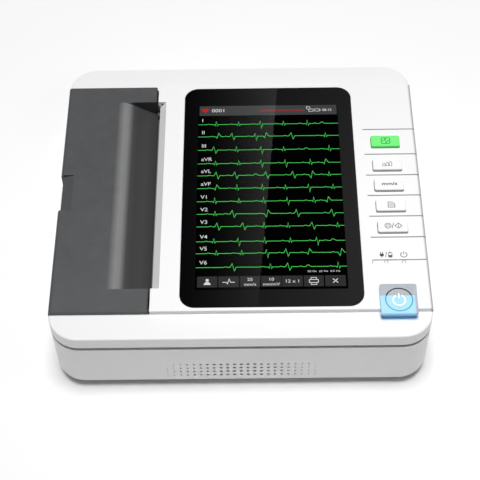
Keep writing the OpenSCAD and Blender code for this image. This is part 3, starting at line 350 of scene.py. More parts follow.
@dataclass(frozen=True)
class Finish:
    """What a surface is made of. The slot names the record's material slot and is not used."""

    name: str
    slot: str

    def material(self) -> bpy.types.Material:
        """Makes the material the first time, and hands back the same one later.

        Returns:
            The Blender material.
        """
        if self.name not in MADE:
            made = bpy.data.materials.new(self.name)
            made.use_nodes = True
            made.node_tree.nodes.clear()
            net = Wiring(made.node_tree)
            skin = net.add("ShaderNodeBsdfPrincipled")
            out = net.add("ShaderNodeOutputMaterial")
            net.feed(out.inputs["Surface"], skin.outputs[0])
            self.wire(net, skin)
            MADE[self.name] = made
        return MADE[self.name]

    def wire(self, net: Wiring, skin: bpy.types.Node) -> None:
        """Joins the finish's nodes to the shader; each kind of finish has its own."""
        raise NotImplementedError


@dataclass(frozen=True)
class MouldedPlastic(Finish):
    """Injection-moulded plastic with a fine spark-eroded skin.

    The grain's scale is in features per metre, and its depth is in metres.
    """

    colour: Colour
    tint: Colour
    roughness: float = 0.42
    tint_share: float = 0.12
    grain_scale: float = 2600.0
    grain_depth: float = 0.00002
    dust: float = 0.0
    coat: float = 0.0

    def wire(self, net: Wiring, skin: bpy.types.Node) -> None:
        """Skin texture, uneven gloss, handling marks and a trace of dust."""
        cover = EFFECTS.place(net, Effect.MOULDED_SKIN, Base=self.colour, Tint=self.tint,
                              Tint_share=self.tint_share, Grain_scale=self.grain_scale,
                              Roughness=self.roughness)
        marks = EFFECTS.place(net, Effect.HANDLING, Roughness=cover.outputs["Roughness out"],
                              Polish=0.06, Scratch=0.08)
        veil = EFFECTS.place(net, Effect.DUST, Base=cover.outputs["Color"], Amount=self.dust)
        net.feed(skin.inputs["Base Color"], veil.outputs["Color"])
        net.feed(skin.inputs["Roughness"], marks.outputs["Roughness out"])
        net.feed(skin.inputs["Normal"], net.bump(cover.outputs["Height"], 0.35, self.grain_depth))
        skin.inputs["Specular IOR Level"].default_value = 0.42
        skin.inputs["Coat Weight"].default_value = self.coat
        skin.inputs["Coat Roughness"].default_value = 0.12


@dataclass(frozen=True)
class ScoopedDoor(MouldedPlastic):
    """Door plastic with a painted highlight on the scoop's shoulder and painted shade in its hollow."""

    # Colours of the painted highlight on the shoulder and of the painted shade in the hollow.
    shoulder_painted_highlight: Colour = (0.225, 0.225, 0.228)
    hollow_painted_shade: Colour = (0.05, 0.05, 0.052)
    x_flat: float = -118.5
    x_shoulder: float = -111.5
    x_slope: float = -103.5
    x_hollow: float = -99.0
    highlight_run: float = 3.5
    shade_run: float = 4.5
    y_front: float = -109.6
    y_rear: float = 110.5
    end_blur: float = 0.2
    highlight_share: float = 0.88
    highlight_spread: float = 0.2

    def wire(self, net: Wiring, skin: bpy.types.Node) -> None:
        """Lays the painted highlight on the shoulder and the painted shade in the hollow over the moulded
        skin.
        """
        super().wire(net, skin)
        plain = skin.inputs["Base Color"].links[0].from_socket
        axes = net.axes()
        x, y = axes.outputs["X"], axes.outputs["Y"]
        front = net.between(y, (self.y_front - self.end_blur) * MM, self.y_front * MM)
        rear = net.between(y, (self.y_rear + self.end_blur) * MM, self.y_rear * MM)
        within = net.math("MULTIPLY", front, rear)
        # Painted highlight: a pale band where the scoop's shoulder turns down.
        rise = net.between(x, self.x_flat * MM, self.x_shoulder * MM)
        fall = net.between(x, self.x_slope * MM, (self.x_shoulder + self.highlight_run) * MM)
        highlight_band = net.math("MULTIPLY", net.math("MULTIPLY", rise, fall), within)
        patchy = net.math("MULTIPLY", net.noise(60.0), self.highlight_spread)
        highlight_band = net.math("MULTIPLY", highlight_band, net.math("ADD", self.highlight_share, patchy))
        # Painted shade: a darker colour down in the scoop's hollow.
        sunk = net.between(x, (self.x_shoulder + self.shade_run) * MM, self.x_hollow * MM)
        hollow_shade_mask = net.math("MULTIPLY", within, sunk)
        net.feed(skin.inputs["Base Color"],
                 net.blend(highlight_band, net.blend(hollow_shade_mask, plain, self.hollow_painted_shade), self.shoulder_painted_highlight))


@dataclass(frozen=True)
class EdgeShaded(MouldedPlastic):
    """Moulded plastic with painted shade: it turns to a darker second colour past a plane."""

    painted_shade: Colour = (0.3, 0.3, 0.305)
    axis: str = "X"
    start: float = 165.6
    end: float = 168.2

    def wire(self, net: Wiring, skin: bpy.types.Node) -> None:
        """Blends the painted shade in along the axis."""
        super().wire(net, skin)
        plain = skin.inputs["Base Color"].links[0].from_socket
        painted_shade_share = net.between(net.axes().outputs[self.axis], self.start * MM, self.end * MM)
        net.feed(skin.inputs["Base Color"], net.blend(painted_shade_share, plain, self.painted_shade))


@dataclass(frozen=True)
class BareMetal(Finish):
    """Turned, rolled or plated metal with its lines along one axis; their scale is per metre."""

    colour: Colour
    dark: Colour
    roughness: float = 0.28
    stretch: tuple[float, float, float] = (1.0, 0.04, 1.0)
    line_scale: float = 1800.0

    def wire(self, net: Wiring, skin: bpy.types.Node) -> None:
        """Drawn lines in colour, gloss and relief."""
        lines = EFFECTS.place(net, Effect.BRUSHED_GRAIN, Base=self.colour, Dark=self.dark,
                              Stretch=self.stretch, Line_scale=self.line_scale,
                              Roughness=self.roughness)
        net.feed(skin.inputs["Base Color"], lines.outputs["Color"])
        net.feed(skin.inputs["Roughness"], lines.outputs["Roughness out"])
        net.feed(skin.inputs["Normal"], net.bump(lines.outputs["Height"], 0.25, 0.00002))
        skin.inputs["Metallic"].default_value = 1.0


@dataclass(frozen=True)
class SoftRubber(Finish):
    """Moulded or ground rubber, matt, with a faint bloom."""

    colour: Colour
    bloom: Colour
    roughness: float = 0.7
    sheen: float = 0.15

    def wire(self, net: Wiring, skin: bpy.types.Node) -> None:
        """Bloom in the colour and a fine ground surface."""
        cover = EFFECTS.place(net, Effect.MOULDED_SKIN, Base=self.colour, Tint=self.bloom,
                              Tint_share=0.3, Grain_scale=1600.0, Roughness=self.roughness,
                              Roughness_spread=0.15)
        veil = EFFECTS.place(net, Effect.DUST, Base=cover.outputs["Color"], Amount=0.08)
        net.feed(skin.inputs["Base Color"], veil.outputs["Color"])
        net.feed(skin.inputs["Roughness"], cover.outputs["Roughness out"])
        net.feed(skin.inputs["Normal"], net.bump(cover.outputs["Height"], 0.4, 0.00003))
        skin.inputs["Sheen Weight"].default_value = self.sheen


@dataclass(frozen=True)
class ChartPaper(Finish):
    """Thermal paper with its one and five millimetre squares."""

    sheet: Colour = (0.93, 0.88, 0.86)
    ink: Colour = (0.9, 0.45, 0.42)

    def wire(self, net: Wiring, skin: bpy.types.Node) -> None:
        """Ruled squares from the place on the sheet, over a fibrous ground."""
        axes = net.axes()
        ruled = None
        for pitch, width, depth in ((1.0, 0.12, 0.45), (5.0, 0.24, 0.9)):
            for axis in ("X", "Y"):
                turn = net.math("FRACT", net.math("DIVIDE", axes.outputs[axis], pitch * MM))
                off = net.math("ABSOLUTE", net.math("SUBTRACT", turn, 0.5))
                line = net.math("GREATER_THAN", off, 0.5 - width / pitch)
                line = net.math("MULTIPLY", line, depth)
                ruled = line if ruled is None else net.math("MAXIMUM", ruled, line)
        fibre = net.noise(1500.0, 4.0)
        ground = net.blend(net.math("MULTIPLY", fibre, 0.12), self.sheet, (0.7, 0.65, 0.6))
        net.feed(skin.inputs["Base Color"], net.blend(ruled, ground, self.ink))
        net.feed(skin.inputs["Normal"], net.bump(fibre, 0.3, 0.00002))
        skin.inputs["Roughness"].default_value = 0.55


@dataclass(frozen=True)
class CoverGlass(Finish):
    """Polished cover glass with a few finger smears."""

    tint: Colour = (0.97, 0.985, 0.98)

    def wire(self, net: Wiring, skin: bpy.types.Node) -> None:
        """Clear glass whose gloss varies where fingers wiped it."""
        marks = EFFECTS.place(net, Effect.HANDLING, Roughness=0.012, Polish=0.01, Scratch=0.02)
        net.feed(skin.inputs["Roughness"], marks.outputs["Roughness out"])
        skin.inputs["Base Color"].default_value = (*self.tint, 1.0)
        skin.inputs["Transmission Weight"].default_value = 1.0
        skin.inputs["IOR"].default_value = 1.46


@dataclass(frozen=True)
class PrintedBorder(Finish):
    """Black printed border under the glass, with a painted reflection that makes it lighter to the right and
    towards the front, and a painted glow.
    """

    left: Colour
    right: Colour
    x_left: float
    x_right: float
    y_rear: float = 140.0
    y_front: float = -60.0
    rear_reflection_share: float = 0.55
    # Glow strength of the border's colour: painted light that stands in for light falling on it under the
    # glass.
    lift: float = 0.85

    def wire(self, net: Wiring, skin: bpy.types.Node) -> None:
        """Screen-printed black with a painted reflection that grows from left to right and from rear to
        front; the same colour also glows as painted light.
        """
        axes = net.axes()
        # Painted reflection: the border lightens from left to right and from rear to front.
        across = net.between(axes.outputs["X"], self.x_left * MM, self.x_right * MM)
        mesh = net.math("MULTIPLY", net.noise(3000.0, 2.0), 0.1)
        share = net.math("ADD", across, net.math("SUBTRACT", mesh, 0.05))
        ahead = net.between(axes.outputs["Y"], self.y_rear * MM, self.y_front * MM)
        ahead = net.math("MULTIPLY", ahead, 1.0 - self.rear_reflection_share)
        share = net.math("MULTIPLY", share, net.math("ADD", self.rear_reflection_share, ahead))
        border_with_painted_light = net.blend(share, self.left, self.right)
        net.feed(skin.inputs["Base Color"], border_with_painted_light)
        # Painted light: the same colour glows, standing in for light that reaches the border under the
        # glass.
        net.feed(skin.inputs["Emission Color"], border_with_painted_light)
        skin.inputs["Emission Strength"].default_value = self.lift
        net.feed(skin.inputs["Roughness"], net.math("ADD", 0.5, mesh))


@dataclass(frozen=True)
class LitScreen(Finish):
    """Light that the display gives out, with the fine rows of its dots."""

    glow: Colour
    strength: float = 1.0
    ground: Colour = (0.0, 0.0, 0.0)
    row_pitch: float = 0.25
    row_gap: float = 0.35
    row_depth: float = 0.12
    row_dim: float = 0.8

    def wire(self, net: Wiring, skin: bpy.types.Node) -> None:
        """Dot rows in the light, over a dark ground."""
        axes = net.axes()
        rows = net.math("FRACT", net.math("DIVIDE", axes.outputs["Y"], self.row_pitch * MM))
        rows = net.math("MULTIPLY", net.between(rows, 0.0, self.row_gap), self.row_depth)
        dim = tuple(c * self.row_dim for c in self.glow)
        net.feed(skin.inputs["Emission Color"], net.blend(rows, self.glow, dim))
        skin.inputs["Emission Strength"].default_value = self.strength
        skin.inputs["Base Color"].default_value = (*self.ground, 1.0)
        skin.inputs["Roughness"].default_value = 0.6
        skin.inputs["Specular IOR Level"].default_value = 0.0


@dataclass(frozen=True)
class PrintedInk(Finish):
    """Pad-printed ink, slightly uneven at its edges."""

    colour: Colour
    faded: Colour
    roughness: float = 0.5

    def wire(self, net: Wiring, skin: bpy.types.Node) -> None:
        """Ink with tiny pinholes and uneven cover."""
        cover = net.between(net.noise(2200.0, 2.0), 0.45, 0.8)
        net.feed(skin.inputs["Base Color"], net.blend(cover, self.colour, self.faded))
        net.feed(skin.inputs["Roughness"], net.math("ADD", self.roughness, net.math("MULTIPLY", cover, 0.2)))


@dataclass(frozen=True)
class LitCap(Finish):
    """Translucent cap lit from below in its front part, unlit at its back and right edge."""

    unlit: Colour
    lit: Colour
    front: Colour
    y_split: float
    x_edge: float
    z_skirt: float
    skirt_blur: float = 1.2
    split_blur: float = 0.15
    edge_blur: float = 0.5
    strength: float = 0.1
    skirt_glow: float = 4.0
    cloud: float = 0.16

    def wire(self, net: Wiring, skin: bpy.types.Node) -> None:
        """Splits the cap into its lit window, its grey back and its deep blue skirt."""
        axes = net.axes()
        ahead = net.between(axes.outputs["Y"], (self.y_split + self.split_blur) * MM,
                            (self.y_split - self.split_blur) * MM)
        inside = net.between(axes.outputs["X"], (self.x_edge + self.edge_blur) * MM,
                             (self.x_edge - self.edge_blur) * MM)
        window = net.math("MULTIPLY", ahead, inside)
        low = net.between(axes.outputs["Z"], self.z_skirt * MM, (self.z_skirt - self.skirt_blur) * MM)
        haze = net.math("MULTIPLY", net.noise(140.0, 2.0), self.cloud)
        top = net.blend(window, self.unlit, self.lit)
        body = net.blend(low, top, self.front)
        net.feed(skin.inputs["Base Color"], net.blend(haze, body, WHITE))
        light = net.blend(window, (0.0, 0.0, 0.0), self.lit)
        glow = tuple(self.skirt_glow * c for c in self.front)
        net.feed(skin.inputs["Emission Color"], net.blend(low, light, glow))
        skin.inputs["Emission Strength"].default_value = self.strength
        skin.inputs["Roughness"].default_value = 0.22
        skin.inputs["Coat Weight"].default_value = 0.4


@dataclass(frozen=True)
class CircuitBoard(Finish):
    """Solder mask with copper tracks showing through."""

    mask: Colour = (0.02, 0.16, 0.06)
    track: Colour = (0.06, 0.32, 0.12)

    def wire(self, net: Wiring, skin: bpy.types.Node) -> None:
        """Square-cornered tracks from a brick pattern under a glossy mask."""
        brick = net.add("ShaderNodeTexBrick")
        net.feed(brick.inputs["Vector"], net.place())
        brick.inputs["Scale"].default_value = 160.0
        brick.inputs["Mortar Size"].default_value = 0.06
        run = net.math("MULTIPLY", brick.outputs["Fac"], net.between(net.noise(30.0, 2.0), 0.45, 0.5))
        net.feed(skin.inputs["Base Color"], net.blend(run, self.mask, self.track))
        net.feed(skin.inputs["Normal"], net.bump(run, 0.5, 0.00004))
        skin.inputs["Roughness"].default_value = 0.3


@dataclass(frozen=True)
class StudioFloor(Finish):
    """Matt white sweep that the machine stands on."""

    colour: Colour = (0.95, 0.95, 0.95)

    def wire(self, net: Wiring, skin: bpy.types.Node) -> None:
        """Barely uneven matt white."""
        cloud = net.math("MULTIPLY", net.noise(3.0, 2.0), 0.02)
        net.feed(skin.inputs["Base Color"], net.blend(cloud, self.colour, (0.9, 0.9, 0.9)))
        skin.inputs["Roughness"].default_value = 0.9
        skin.inputs["Specular IOR Level"].default_value = 0.0


CASE_SKIN = {"roughness": 0.45, "tint_share": 0.2, "grain_scale": 3200.0, "grain_depth": 0.000012}
# Height span over which the keys turn to their darker side colour: painted shade.
KEY_SIDE_SHADE = {"axis": "Z", "start": 88.7, "end": 88.3}

# The lower and upper case use the deck's white plastic made darker, so that their mostly upright faces read
# darker: painted shade.
LOWER_WHITE = MouldedPlastic("lower case white", "case_white", (0.835, 0.835, 0.84), (0.79, 0.79, 0.795),
                             **CASE_SKIN)
UPPER_WHITE = MouldedPlastic("upper case white", "case_white", (0.875, 0.875, 0.88), (0.82, 0.82, 0.825),
                             **CASE_SKIN)
# Painted shade: the deck white turns grey towards its rounded right edge.
DECK_WHITE = EdgeShaded("deck white", "case_white", (0.9, 0.9, 0.902), (0.84, 0.84, 0.845), **CASE_SKIN)
# The seam gasket's mid grey is painted shade: it stands in for the shadowed seam groove.
SEAM_SHADE_GREY = SoftRubber("seam gasket painted shade", "gasket_grey", (0.5, 0.5, 0.505), (0.56, 0.56, 0.56))
# The door's finish paints a highlight on the scoop's shoulder and shade in its hollow.
DOOR_GREY = ScoopedDoor("door charcoal", "door_grey", (0.072, 0.074, 0.077), (0.1, 0.102, 0.105),
                        roughness=0.44, tint_share=0.25, grain_scale=2600.0, grain_depth=0.00003,
                        dust=0.02)
STEEL = BareMetal("plain steel", "steel", (0.6, 0.6, 0.61), (0.42, 0.42, 0.43))
ZINC = BareMetal("zinc plated sheet", "zinc_sheet", (0.64, 0.66, 0.68), (0.48, 0.5, 0.53), 0.36,
                 (1.0, 0.08, 1.0), 700.0)
ALUMINIUM = BareMetal("extruded aluminium", "aluminium", (0.75, 0.76, 0.77), (0.6, 0.6, 0.62), 0.3)
BRONZE = BareMetal("sintered bronze", "bronze", (0.6, 0.42, 0.2), (0.42, 0.28, 0.14), 0.42,
                   (1.0, 1.0, 1.0), 2400.0)
PLATEN_RUBBER = SoftRubber("platen rubber", "platen_rubber", (0.03, 0.03, 0.032), (0.06, 0.06, 0.06), 0.6)
GEAR_NATURAL = MouldedPlastic("natural acetal", "gear_plastic", (0.82, 0.8, 0.73), (0.72, 0.68, 0.6),
                              roughness=0.35)
MOTOR_BLACK = MouldedPlastic("motor black", "motor_black", (0.03, 0.03, 0.033), (0.06, 0.06, 0.065),
                             roughness=0.32)
CERAMIC = MouldedPlastic("glazed ceramic", "ceramic_head", (0.16, 0.14, 0.12), (0.1, 0.09, 0.08),
                         roughness=0.15, coat=0.5)
SPRING_STEEL = BareMetal("spring strip", "spring_steel", (0.7, 0.7, 0.7), (0.5, 0.5, 0.52), 0.2,
                         (0.05, 1.0, 1.0))
BIN_GREY = MouldedPlastic("paper bin grey", "bin_grey", (0.27, 0.275, 0.28), (0.33, 0.335, 0.34),
                          roughness=0.5, dust=0.1)
SPINDLE_GREY = MouldedPlastic("spindle grey", "spindle_grey", (0.06, 0.06, 0.062), (0.1, 0.1, 0.1))
PAPER = ChartPaper("chart paper", "chart_paper")
GLASS = CoverGlass("cover glass", "cover_glass")
# Colours of the border at its left and right; the lighter right end is painted reflection.
BORDER = PrintedBorder("printed border", "mask_black", (0.003, 0.003, 0.0035), (0.026, 0.0255, 0.026),
                       -50.0, 110.0)
LCD_FILM = LitScreen("polariser film", "lcd_dark", (0.0001, 0.0001, 0.0001))
FLEX = MouldedPlastic("flat cable", "flex_cable", (0.7, 0.62, 0.42), (0.6, 0.5, 0.3), roughness=0.3)
# Both key colours turn darker below their tops: painted shade on the key sides.
KEY_GREEN = EdgeShaded("green key", "key_green", (0.2, 0.93, 0.23), (0.15, 0.8, 0.18),
                       roughness=0.3, tint_share=0.15, coat=0.25, painted_shade=(0.05, 0.62, 0.1),
                       **KEY_SIDE_SHADE)
KEY_WHITE = EdgeShaded("white key", "key_white", (0.93, 0.93, 0.93), (0.86, 0.86, 0.865),
                       roughness=0.34, tint_share=0.12, coat=0.15, painted_shade=(0.42, 0.42, 0.425),
                       **KEY_SIDE_SHADE)
SILICONE = SoftRubber("keypad silicone", "silicone", (0.6, 0.6, 0.58), (0.7, 0.7, 0.68), 0.55)
BOARD = CircuitBoard("circuit board", "board_green")
POWER_BLUE = LitCap("lit power cap", "power_blue", unlit=(0.42, 0.45, 0.5), lit=(0.36, 0.7, 0.88),
                    front=(0.05, 0.33, 0.66), y_split=-122.9, x_edge=152.3, z_skirt=90.0)
RING_BLUE = LitCap("power ring", "ring_blue", unlit=(0.004, 0.012, 0.03), lit=(0.09, 0.4, 0.66),
                   front=(0.05, 0.33, 0.66), y_split=-122.9, x_edge=170.0, z_skirt=80.0, strength=0.02,
                   cloud=0.01)
LIGHT_CLEAR = MouldedPlastic("clear light guide", "light_clear", (0.85, 0.88, 0.9), (0.75, 0.8, 0.82),
                             roughness=0.15)
SPEAKER_BLACK = MouldedPlastic("speaker black", "speaker_black", (0.03, 0.03, 0.03), (0.06, 0.06, 0.06))
BATTERY_BLUE = MouldedPlastic("battery sleeve", "battery_blue", (0.03, 0.1, 0.35), (0.05, 0.15, 0.42),
                              roughness=0.25, coat=0.3)
PANEL_STEEL = MouldedPlastic("panel powder coat", "panel_steel", (0.52, 0.53, 0.54), (0.42, 0.43, 0.44),
                             roughness=0.5, grain_scale=1800.0, grain_depth=0.00004)
SOCKET_BLACK = MouldedPlastic("socket black", "socket_black", (0.02, 0.02, 0.021), (0.05, 0.05, 0.05),
                              roughness=0.38)
STUD_BRASS = BareMetal("earth stud brass", "stud_brass", (0.75, 0.58, 0.28), (0.55, 0.4, 0.18), 0.3,
                       (1.0, 1.0, 0.05))
FOOT_RUBBER = SoftRubber("foot rubber", "foot_rubber", (0.04, 0.04, 0.042), (0.08, 0.08, 0.08), 0.75)
LINE_PAINT = PrintedInk("line paint", "case_white", (0.11, 0.11, 0.112), (0.2, 0.2, 0.2))
KEY_INK = PrintedInk("key print", "key_white", (0.07, 0.07, 0.072), (0.16, 0.16, 0.16))
PANEL_INK = PrintedInk("panel print", "case_white", (0.03, 0.03, 0.03), (0.07, 0.07, 0.07))
GREEN_INK = PrintedInk("green key print", "key_green", (0.03, 0.3, 0.07), (0.07, 0.45, 0.12))
POWER_INK = LitScreen("lit power sign", "power_blue", (0.95, 0.99, 1.0), 1.0, (0.9, 0.95, 1.0))
TRACE_GREEN = LitScreen("trace green", "lcd_dark", (0.09, 0.85, 0.14))
LABEL_WHITE = LitScreen("label white", "lcd_dark", (0.8, 0.8, 0.8))
BAR_GREY = LitScreen("bar grey", "lcd_dark", (0.058, 0.058, 0.06))
SOFTKEY_GREY = LitScreen("soft key grey", "lcd_dark", (0.034, 0.034, 0.035))
HEART_RED = LitScreen("heart red", "lcd_dark", (0.75, 0.012, 0.01))
DASH_RED = LitScreen("dash red", "lcd_dark", (0.36, 0.03, 0.03))
FLOOR = StudioFloor("studio floor", "")


# Drawing in mesh code ------------------------------------------------------------------------


def on_circle(centre: Point, radius: float, degrees: float) -> Point:
    """A point on a circle.

    Args:
        centre: The circle's centre.
        radius: Its radius.
        degrees: The angle from +X, counter-clockwise.

    Returns:
        The point.
    """
    angle = math.radians(degrees)
    return (centre[0] + radius * math.cos(angle), centre[1] + radius * math.sin(angle))


def arc(centre: Point, radius: float, start: float, end: float, steps: int = 16) -> list[Point]:
    """Points along an arc, both ends included.

    Args:
        centre: The arc's centre.
        radius: Its radius.
        start: First angle in degrees.
        end: Last angle in degrees.
        steps: Number of chords.

    Returns:
        The points in order.
    """
    return [on_circle(centre, radius, start + (end - start) * i / steps) for i in range(steps + 1)]


def round_box(low: Point, high: Point, radius: float, steps: int = 5) -> list[Point]:
    """Outline of a rectangle with rounded corners.

    Args:
        low: Corner with the smaller values.
        high: Corner with the larger values.
        radius: Corner radius.
        steps: Chords in each corner.

    Returns:
        The outline, counter-clockwise.
    """
    x0, y0 = low[0] + radius, low[1] + radius
    x1, y1 = high[0] - radius, high[1] - radius
    out = arc((x1, y0), radius, -90, 0, steps) + arc((x1, y1), radius, 0, 90, steps)
    return out + arc((x0, y1), radius, 90, 180, steps) + arc((x0, y0), radius, 180, 270, steps)


def link(piece: bpy.types.Object) -> bpy.types.Object:
    """Puts an object into the scene and hands it back."""
    bpy.context.scene.collection.objects.link(piece)
    return piece


class Sketch:
    """A mesh drawn in millimetres, made of thin closed layers and small solids."""

    def __init__(self, z: float, thick: float = 0.03) -> None:
        """Starts an empty mesh.

        Args:
            z: Height of the underside.
            thick: Thickness of each layer.
        """
        self.mesh = bmesh.new()
        self.z = z
        self.thick = thick

    def plate(self, outline: list[Point], hole: list[Point] | None = None) -> "Sketch":
        """Adds a flat closed plate, with or without a hole of as many points.

        Args:
            outline: Its edge, counter-clockwise.
            hole: The inner edge, with the same number of points.

        Returns:
            This sketch.
        """
        rings = []
        for z in (self.z, self.z + self.thick):
            rings.append([self.mesh.verts.new((x, y, z)) for x, y in outline])
            rings.append([self.mesh.verts.new((x, y, z)) for x, y in hole] if hole else None)
        low, low_in, high, high_in = rings
        count = len(outline)
        for i in range(count):
            j = (i + 1) % count
            self.mesh.faces.new((low[i], low[j], high[j], high[i]))
            if hole:
                self.mesh.faces.new((low_in[j], low_in[i], high_in[i], high_in[j]))
                self.mesh.faces.new((high[i], high[j], high_in[j], high_in[i]))
                self.mesh.faces.new((low[j], low[i], low_in[i], low_in[j]))
        if not hole:
            self.mesh.faces.new(high)
            self.mesh.faces.new(list(reversed(low)))
        return self

    def stroke(self, points: list[Point], width: float, closed: bool = False) -> "Sketch":
        """Adds a line of even width with mitred corners.

        Args:
            points: The line's middle.
            width: Its width.
            closed: Whether the last point joins the first.

        Returns:
            This sketch.
        """
        left, right = [], []
        count = len(points)
        for i, here in enumerate(points):
            before = points[i - 1] if closed or i else None
            after = points[(i + 1) % count] if closed or i < count - 1 else None
            ways = []
            if before is not None:
                ways.append((Vector(here) - Vector(before)).normalized())
            if after is not None:
                ways.append((Vector(after) - Vector(here)).normalized())
            along = sum(ways, Vector((0.0, 0.0)))
            along = along.normalized() if along.length > 1e-6 else ways[0]
            side = Vector((-along.y, along.x))
            square = Vector((-ways[0].y, ways[0].x))
            reach = width / 2 / max(abs(side.dot(square)), 0.45)
            left.append((here[0] + side.x * reach, here[1] + side.y * reach))
            right.append((here[0] - side.x * reach, here[1] - side.y * reach))
        rows = []
        for z in (self.z, self.z + self.thick):
            rows.append([self.mesh.verts.new((x, y, z)) for x, y in left])
            rows.append([self.mesh.verts.new((x, y, z)) for x, y in right])
        low_l, low_r, high_l, high_r = rows
        for i in range(count if closed else count - 1):
            j = (i + 1) % count
            self.mesh.faces.new((high_r[i], high_r[j], high_l[j], high_l[i]))
            self.mesh.faces.new((low_l[i], low_l[j], low_r[j], low_r[i]))
            self.mesh.faces.new((low_r[i], low_r[j], high_r[j], high_r[i]))
            self.mesh.faces.new((high_l[i], high_l[j], low_l[j], low_l[i]))
        if not closed:
            self.mesh.faces.new((low_l[0], low_r[0], high_r[0], high_l[0]))
            self.mesh.faces.new((low_r[-1], low_l[-1], high_l[-1], high_r[-1]))
        return self

    def words(self, text: str, at: Point, height: float, weight: float = 0.0,
              stretch: float = 1.0, middle: bool = False) -> "Sketch":
        """Adds letters or digits as thin solids.

        Args:
            text: The characters.
            at: Left end of their foot line, or the middle of it.
            height: Height of a capital letter.
            weight: How much fatter than the plain face, in millimetres.
            stretch: Width against height.
            middle: Whether the point is the middle.

        Returns:
            This sketch.
        """
        size = height / 0.7
        curve = bpy.data.curves.new("letters", "FONT")
        curve.body = text
        curve.size = size
        curve.offset = weight / 2
        curve.extrude = self.thick / 2
        curve.resolution_u = 3
        curve.align_x = "CENTER" if middle else "LEFT"
        holder = bpy.data.objects.new("letters", curve)
        mesh = bpy.data.meshes.new_from_object(holder)
        mesh.transform(Matrix.Translation((at[0], at[1], self.z + self.thick / 2))
                       @ Matrix.Diagonal((stretch, 1.0, 1.0, 1.0)))
        self.mesh.from_mesh(mesh)
        bpy.data.meshes.remove(mesh)
        bpy.data.objects.remove(holder)
        bpy.data.curves.remove(curve)
        return self

    def finish(self, name: str, body: str, finish: Finish) -> bpy.types.Object:
        """Turns the sketch into a piece that rides on a CAD body.

        Args:
            name: The piece's name.
            body: The CAD body.
            finish: Its finish.

        Returns:
            The new object.
        """
        bmesh.ops.remove_doubles(self.mesh, verts=self.mesh.verts, dist=1e-5)
        bmesh.ops.recalc_face_normals(self.mesh, faces=self.mesh.faces)
        bmesh.ops.scale(self.mesh, vec=(MM, MM, MM), verts=self.mesh.verts)
        mesh = bpy.data.meshes.new(name)
        self.mesh.to_mesh(mesh)
        self.mesh.free()
        piece = link(bpy.data.objects.new(name, mesh))
        mesh.materials.append(finish.material())
        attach(piece, body)
        LOG.info("built %s on %s: %d faces", name, body, len(mesh.polygons))
        return piece


def dress(finish: Finish, *nodes: str) -> None:
    """Gives CAD nodes their finish.

    Args:
        finish: The finish.
        *nodes: The nodes' names.
    """
    for name in nodes:
        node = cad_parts[name]
        for holder in node.material_slots:
            holder.material = finish.material()
        LOG.info("dressed %s as %s", name, finish.name)


# The machine's sub-assemblies ----------------------------------------------------------------


@dataclass
class CaseShells:
    """White clamshell, its seam, feet, rear panel and sockets."""

    def build(self) -> None:
        """Dresses the outside of the machine."""
        dress(LOWER_WHITE, "lower_case", "base_plate", "battery_hatch")
        dress(UPPER_WHITE, "upper_case")
        dress(DECK_WHITE, "deck_cover")
        dress(SEAM_SHADE_GREY, "seam_gasket")
        dress(FOOT_RUBBER, "rubber_feet")
        dress(STEEL, "case_screws", "hatch_screw", "standoffs")
        dress(PANEL_STEEL, "rear_panel")
        dress(SOCKET_BLACK, "mains_inlet", "fuse_holders", "data_ports", "patient_socket")
        dress(STUD_BRASS, "earth_stud")


@dataclass
class PaperDoor:
    """Charcoal sliding door with its scoop, runners, rails and tear bar."""

    def build(self) -> None:
        """Dresses the door and what it slides on."""
        dress(DOOR_GREY, "printer_door")
        dress(STEEL, "door_runners")
        dress(ZINC, "guide_rails")
        dress(SPRING_STEEL, "door_detents")
        dress(STEEL, "tear_bar")


@dataclass
class PrintMechanism:
    """Platen, gears, motor and print head."""

    def build(self) -> None:
        """Dresses the drive and the head."""
        dress(BRONZE, "platen_bushes")
        dress(STEEL, "platen_shaft", "idler_pin")
        dress(PLATEN_RUBBER, "platen_sleeve")
        dress(GEAR_NATURAL, "platen_gear", "idler_gear")
        dress(STUD_BRASS, "motor_pinion")
        dress(MOTOR_BLACK, "stepper_motor")
        dress(ZINC, "printer_chassis")
        dress(ALUMINIUM, "head_heatsink")
        dress(CERAMIC, "thermal_head")
        dress(SPRING_STEEL, "head_springs")


@dataclass
class PaperStore:
    """Bin, spindle, roll and the paper's path to the slot."""

    def build(self) -> None:
        """Dresses the paper and what holds it."""
        dress(BIN_GREY, "paper_bin", "rail_brackets")
        dress(SPINDLE_GREY, "roll_spindle")
        dress(PAPER, "paper_roll", "paper_web")


@dataclass
class Insides:
    """Boards, power supply, battery and speaker."""

    def build(self) -> None:
        """Dresses the parts inside the case."""
        dress(BOARD, "main_board", "ecg_module", "key_board")
        dress(ZINC, "power_supply", "lcd_bracket")
        dress(BATTERY_BLUE, "battery_pack")
        dress(SPEAKER_BLACK, "speaker")
        dress(FLEX, "display_cable")
        dress(SILICONE, "keypad_mat")


class Beat(Enum):
    """Shapes of one heartbeat on the traces, as steps of x and y from its middle."""

    SMALL = ((-1.7, 0.0), (-0.9, -1.5), (0.1, 3.5), (1.1, -1.8), (1.8, 0.0))
    SHARP = ((-1.6, 0.0), (-0.9, -1.3), (0.0, 4.6), (1.1, -2.6), (1.8, 0.0))
    DEEP = ((-1.7, 0.0), (-0.6, 4.0), (0.5, -5.4), (1.6, 0.2))
    UP_DOWN = ((-3.0, 0.0), (-1.0, 4.2), (0.9, -3.9), (2.6, 0.2))
    DOWN_UP = ((-3.0, 0.0), (-0.9, -3.8), (0.6, 4.3), (3.0, 0.2))
    HUMP = ((-2.6, 0.0), (-1.4, -1.8), (0.2, 4.4), (2.6, 0.1))
    WAVE = ((-2.4, 0.0), (-0.8, 1.6), (0.4, 1.8), (2.4, 0.0))


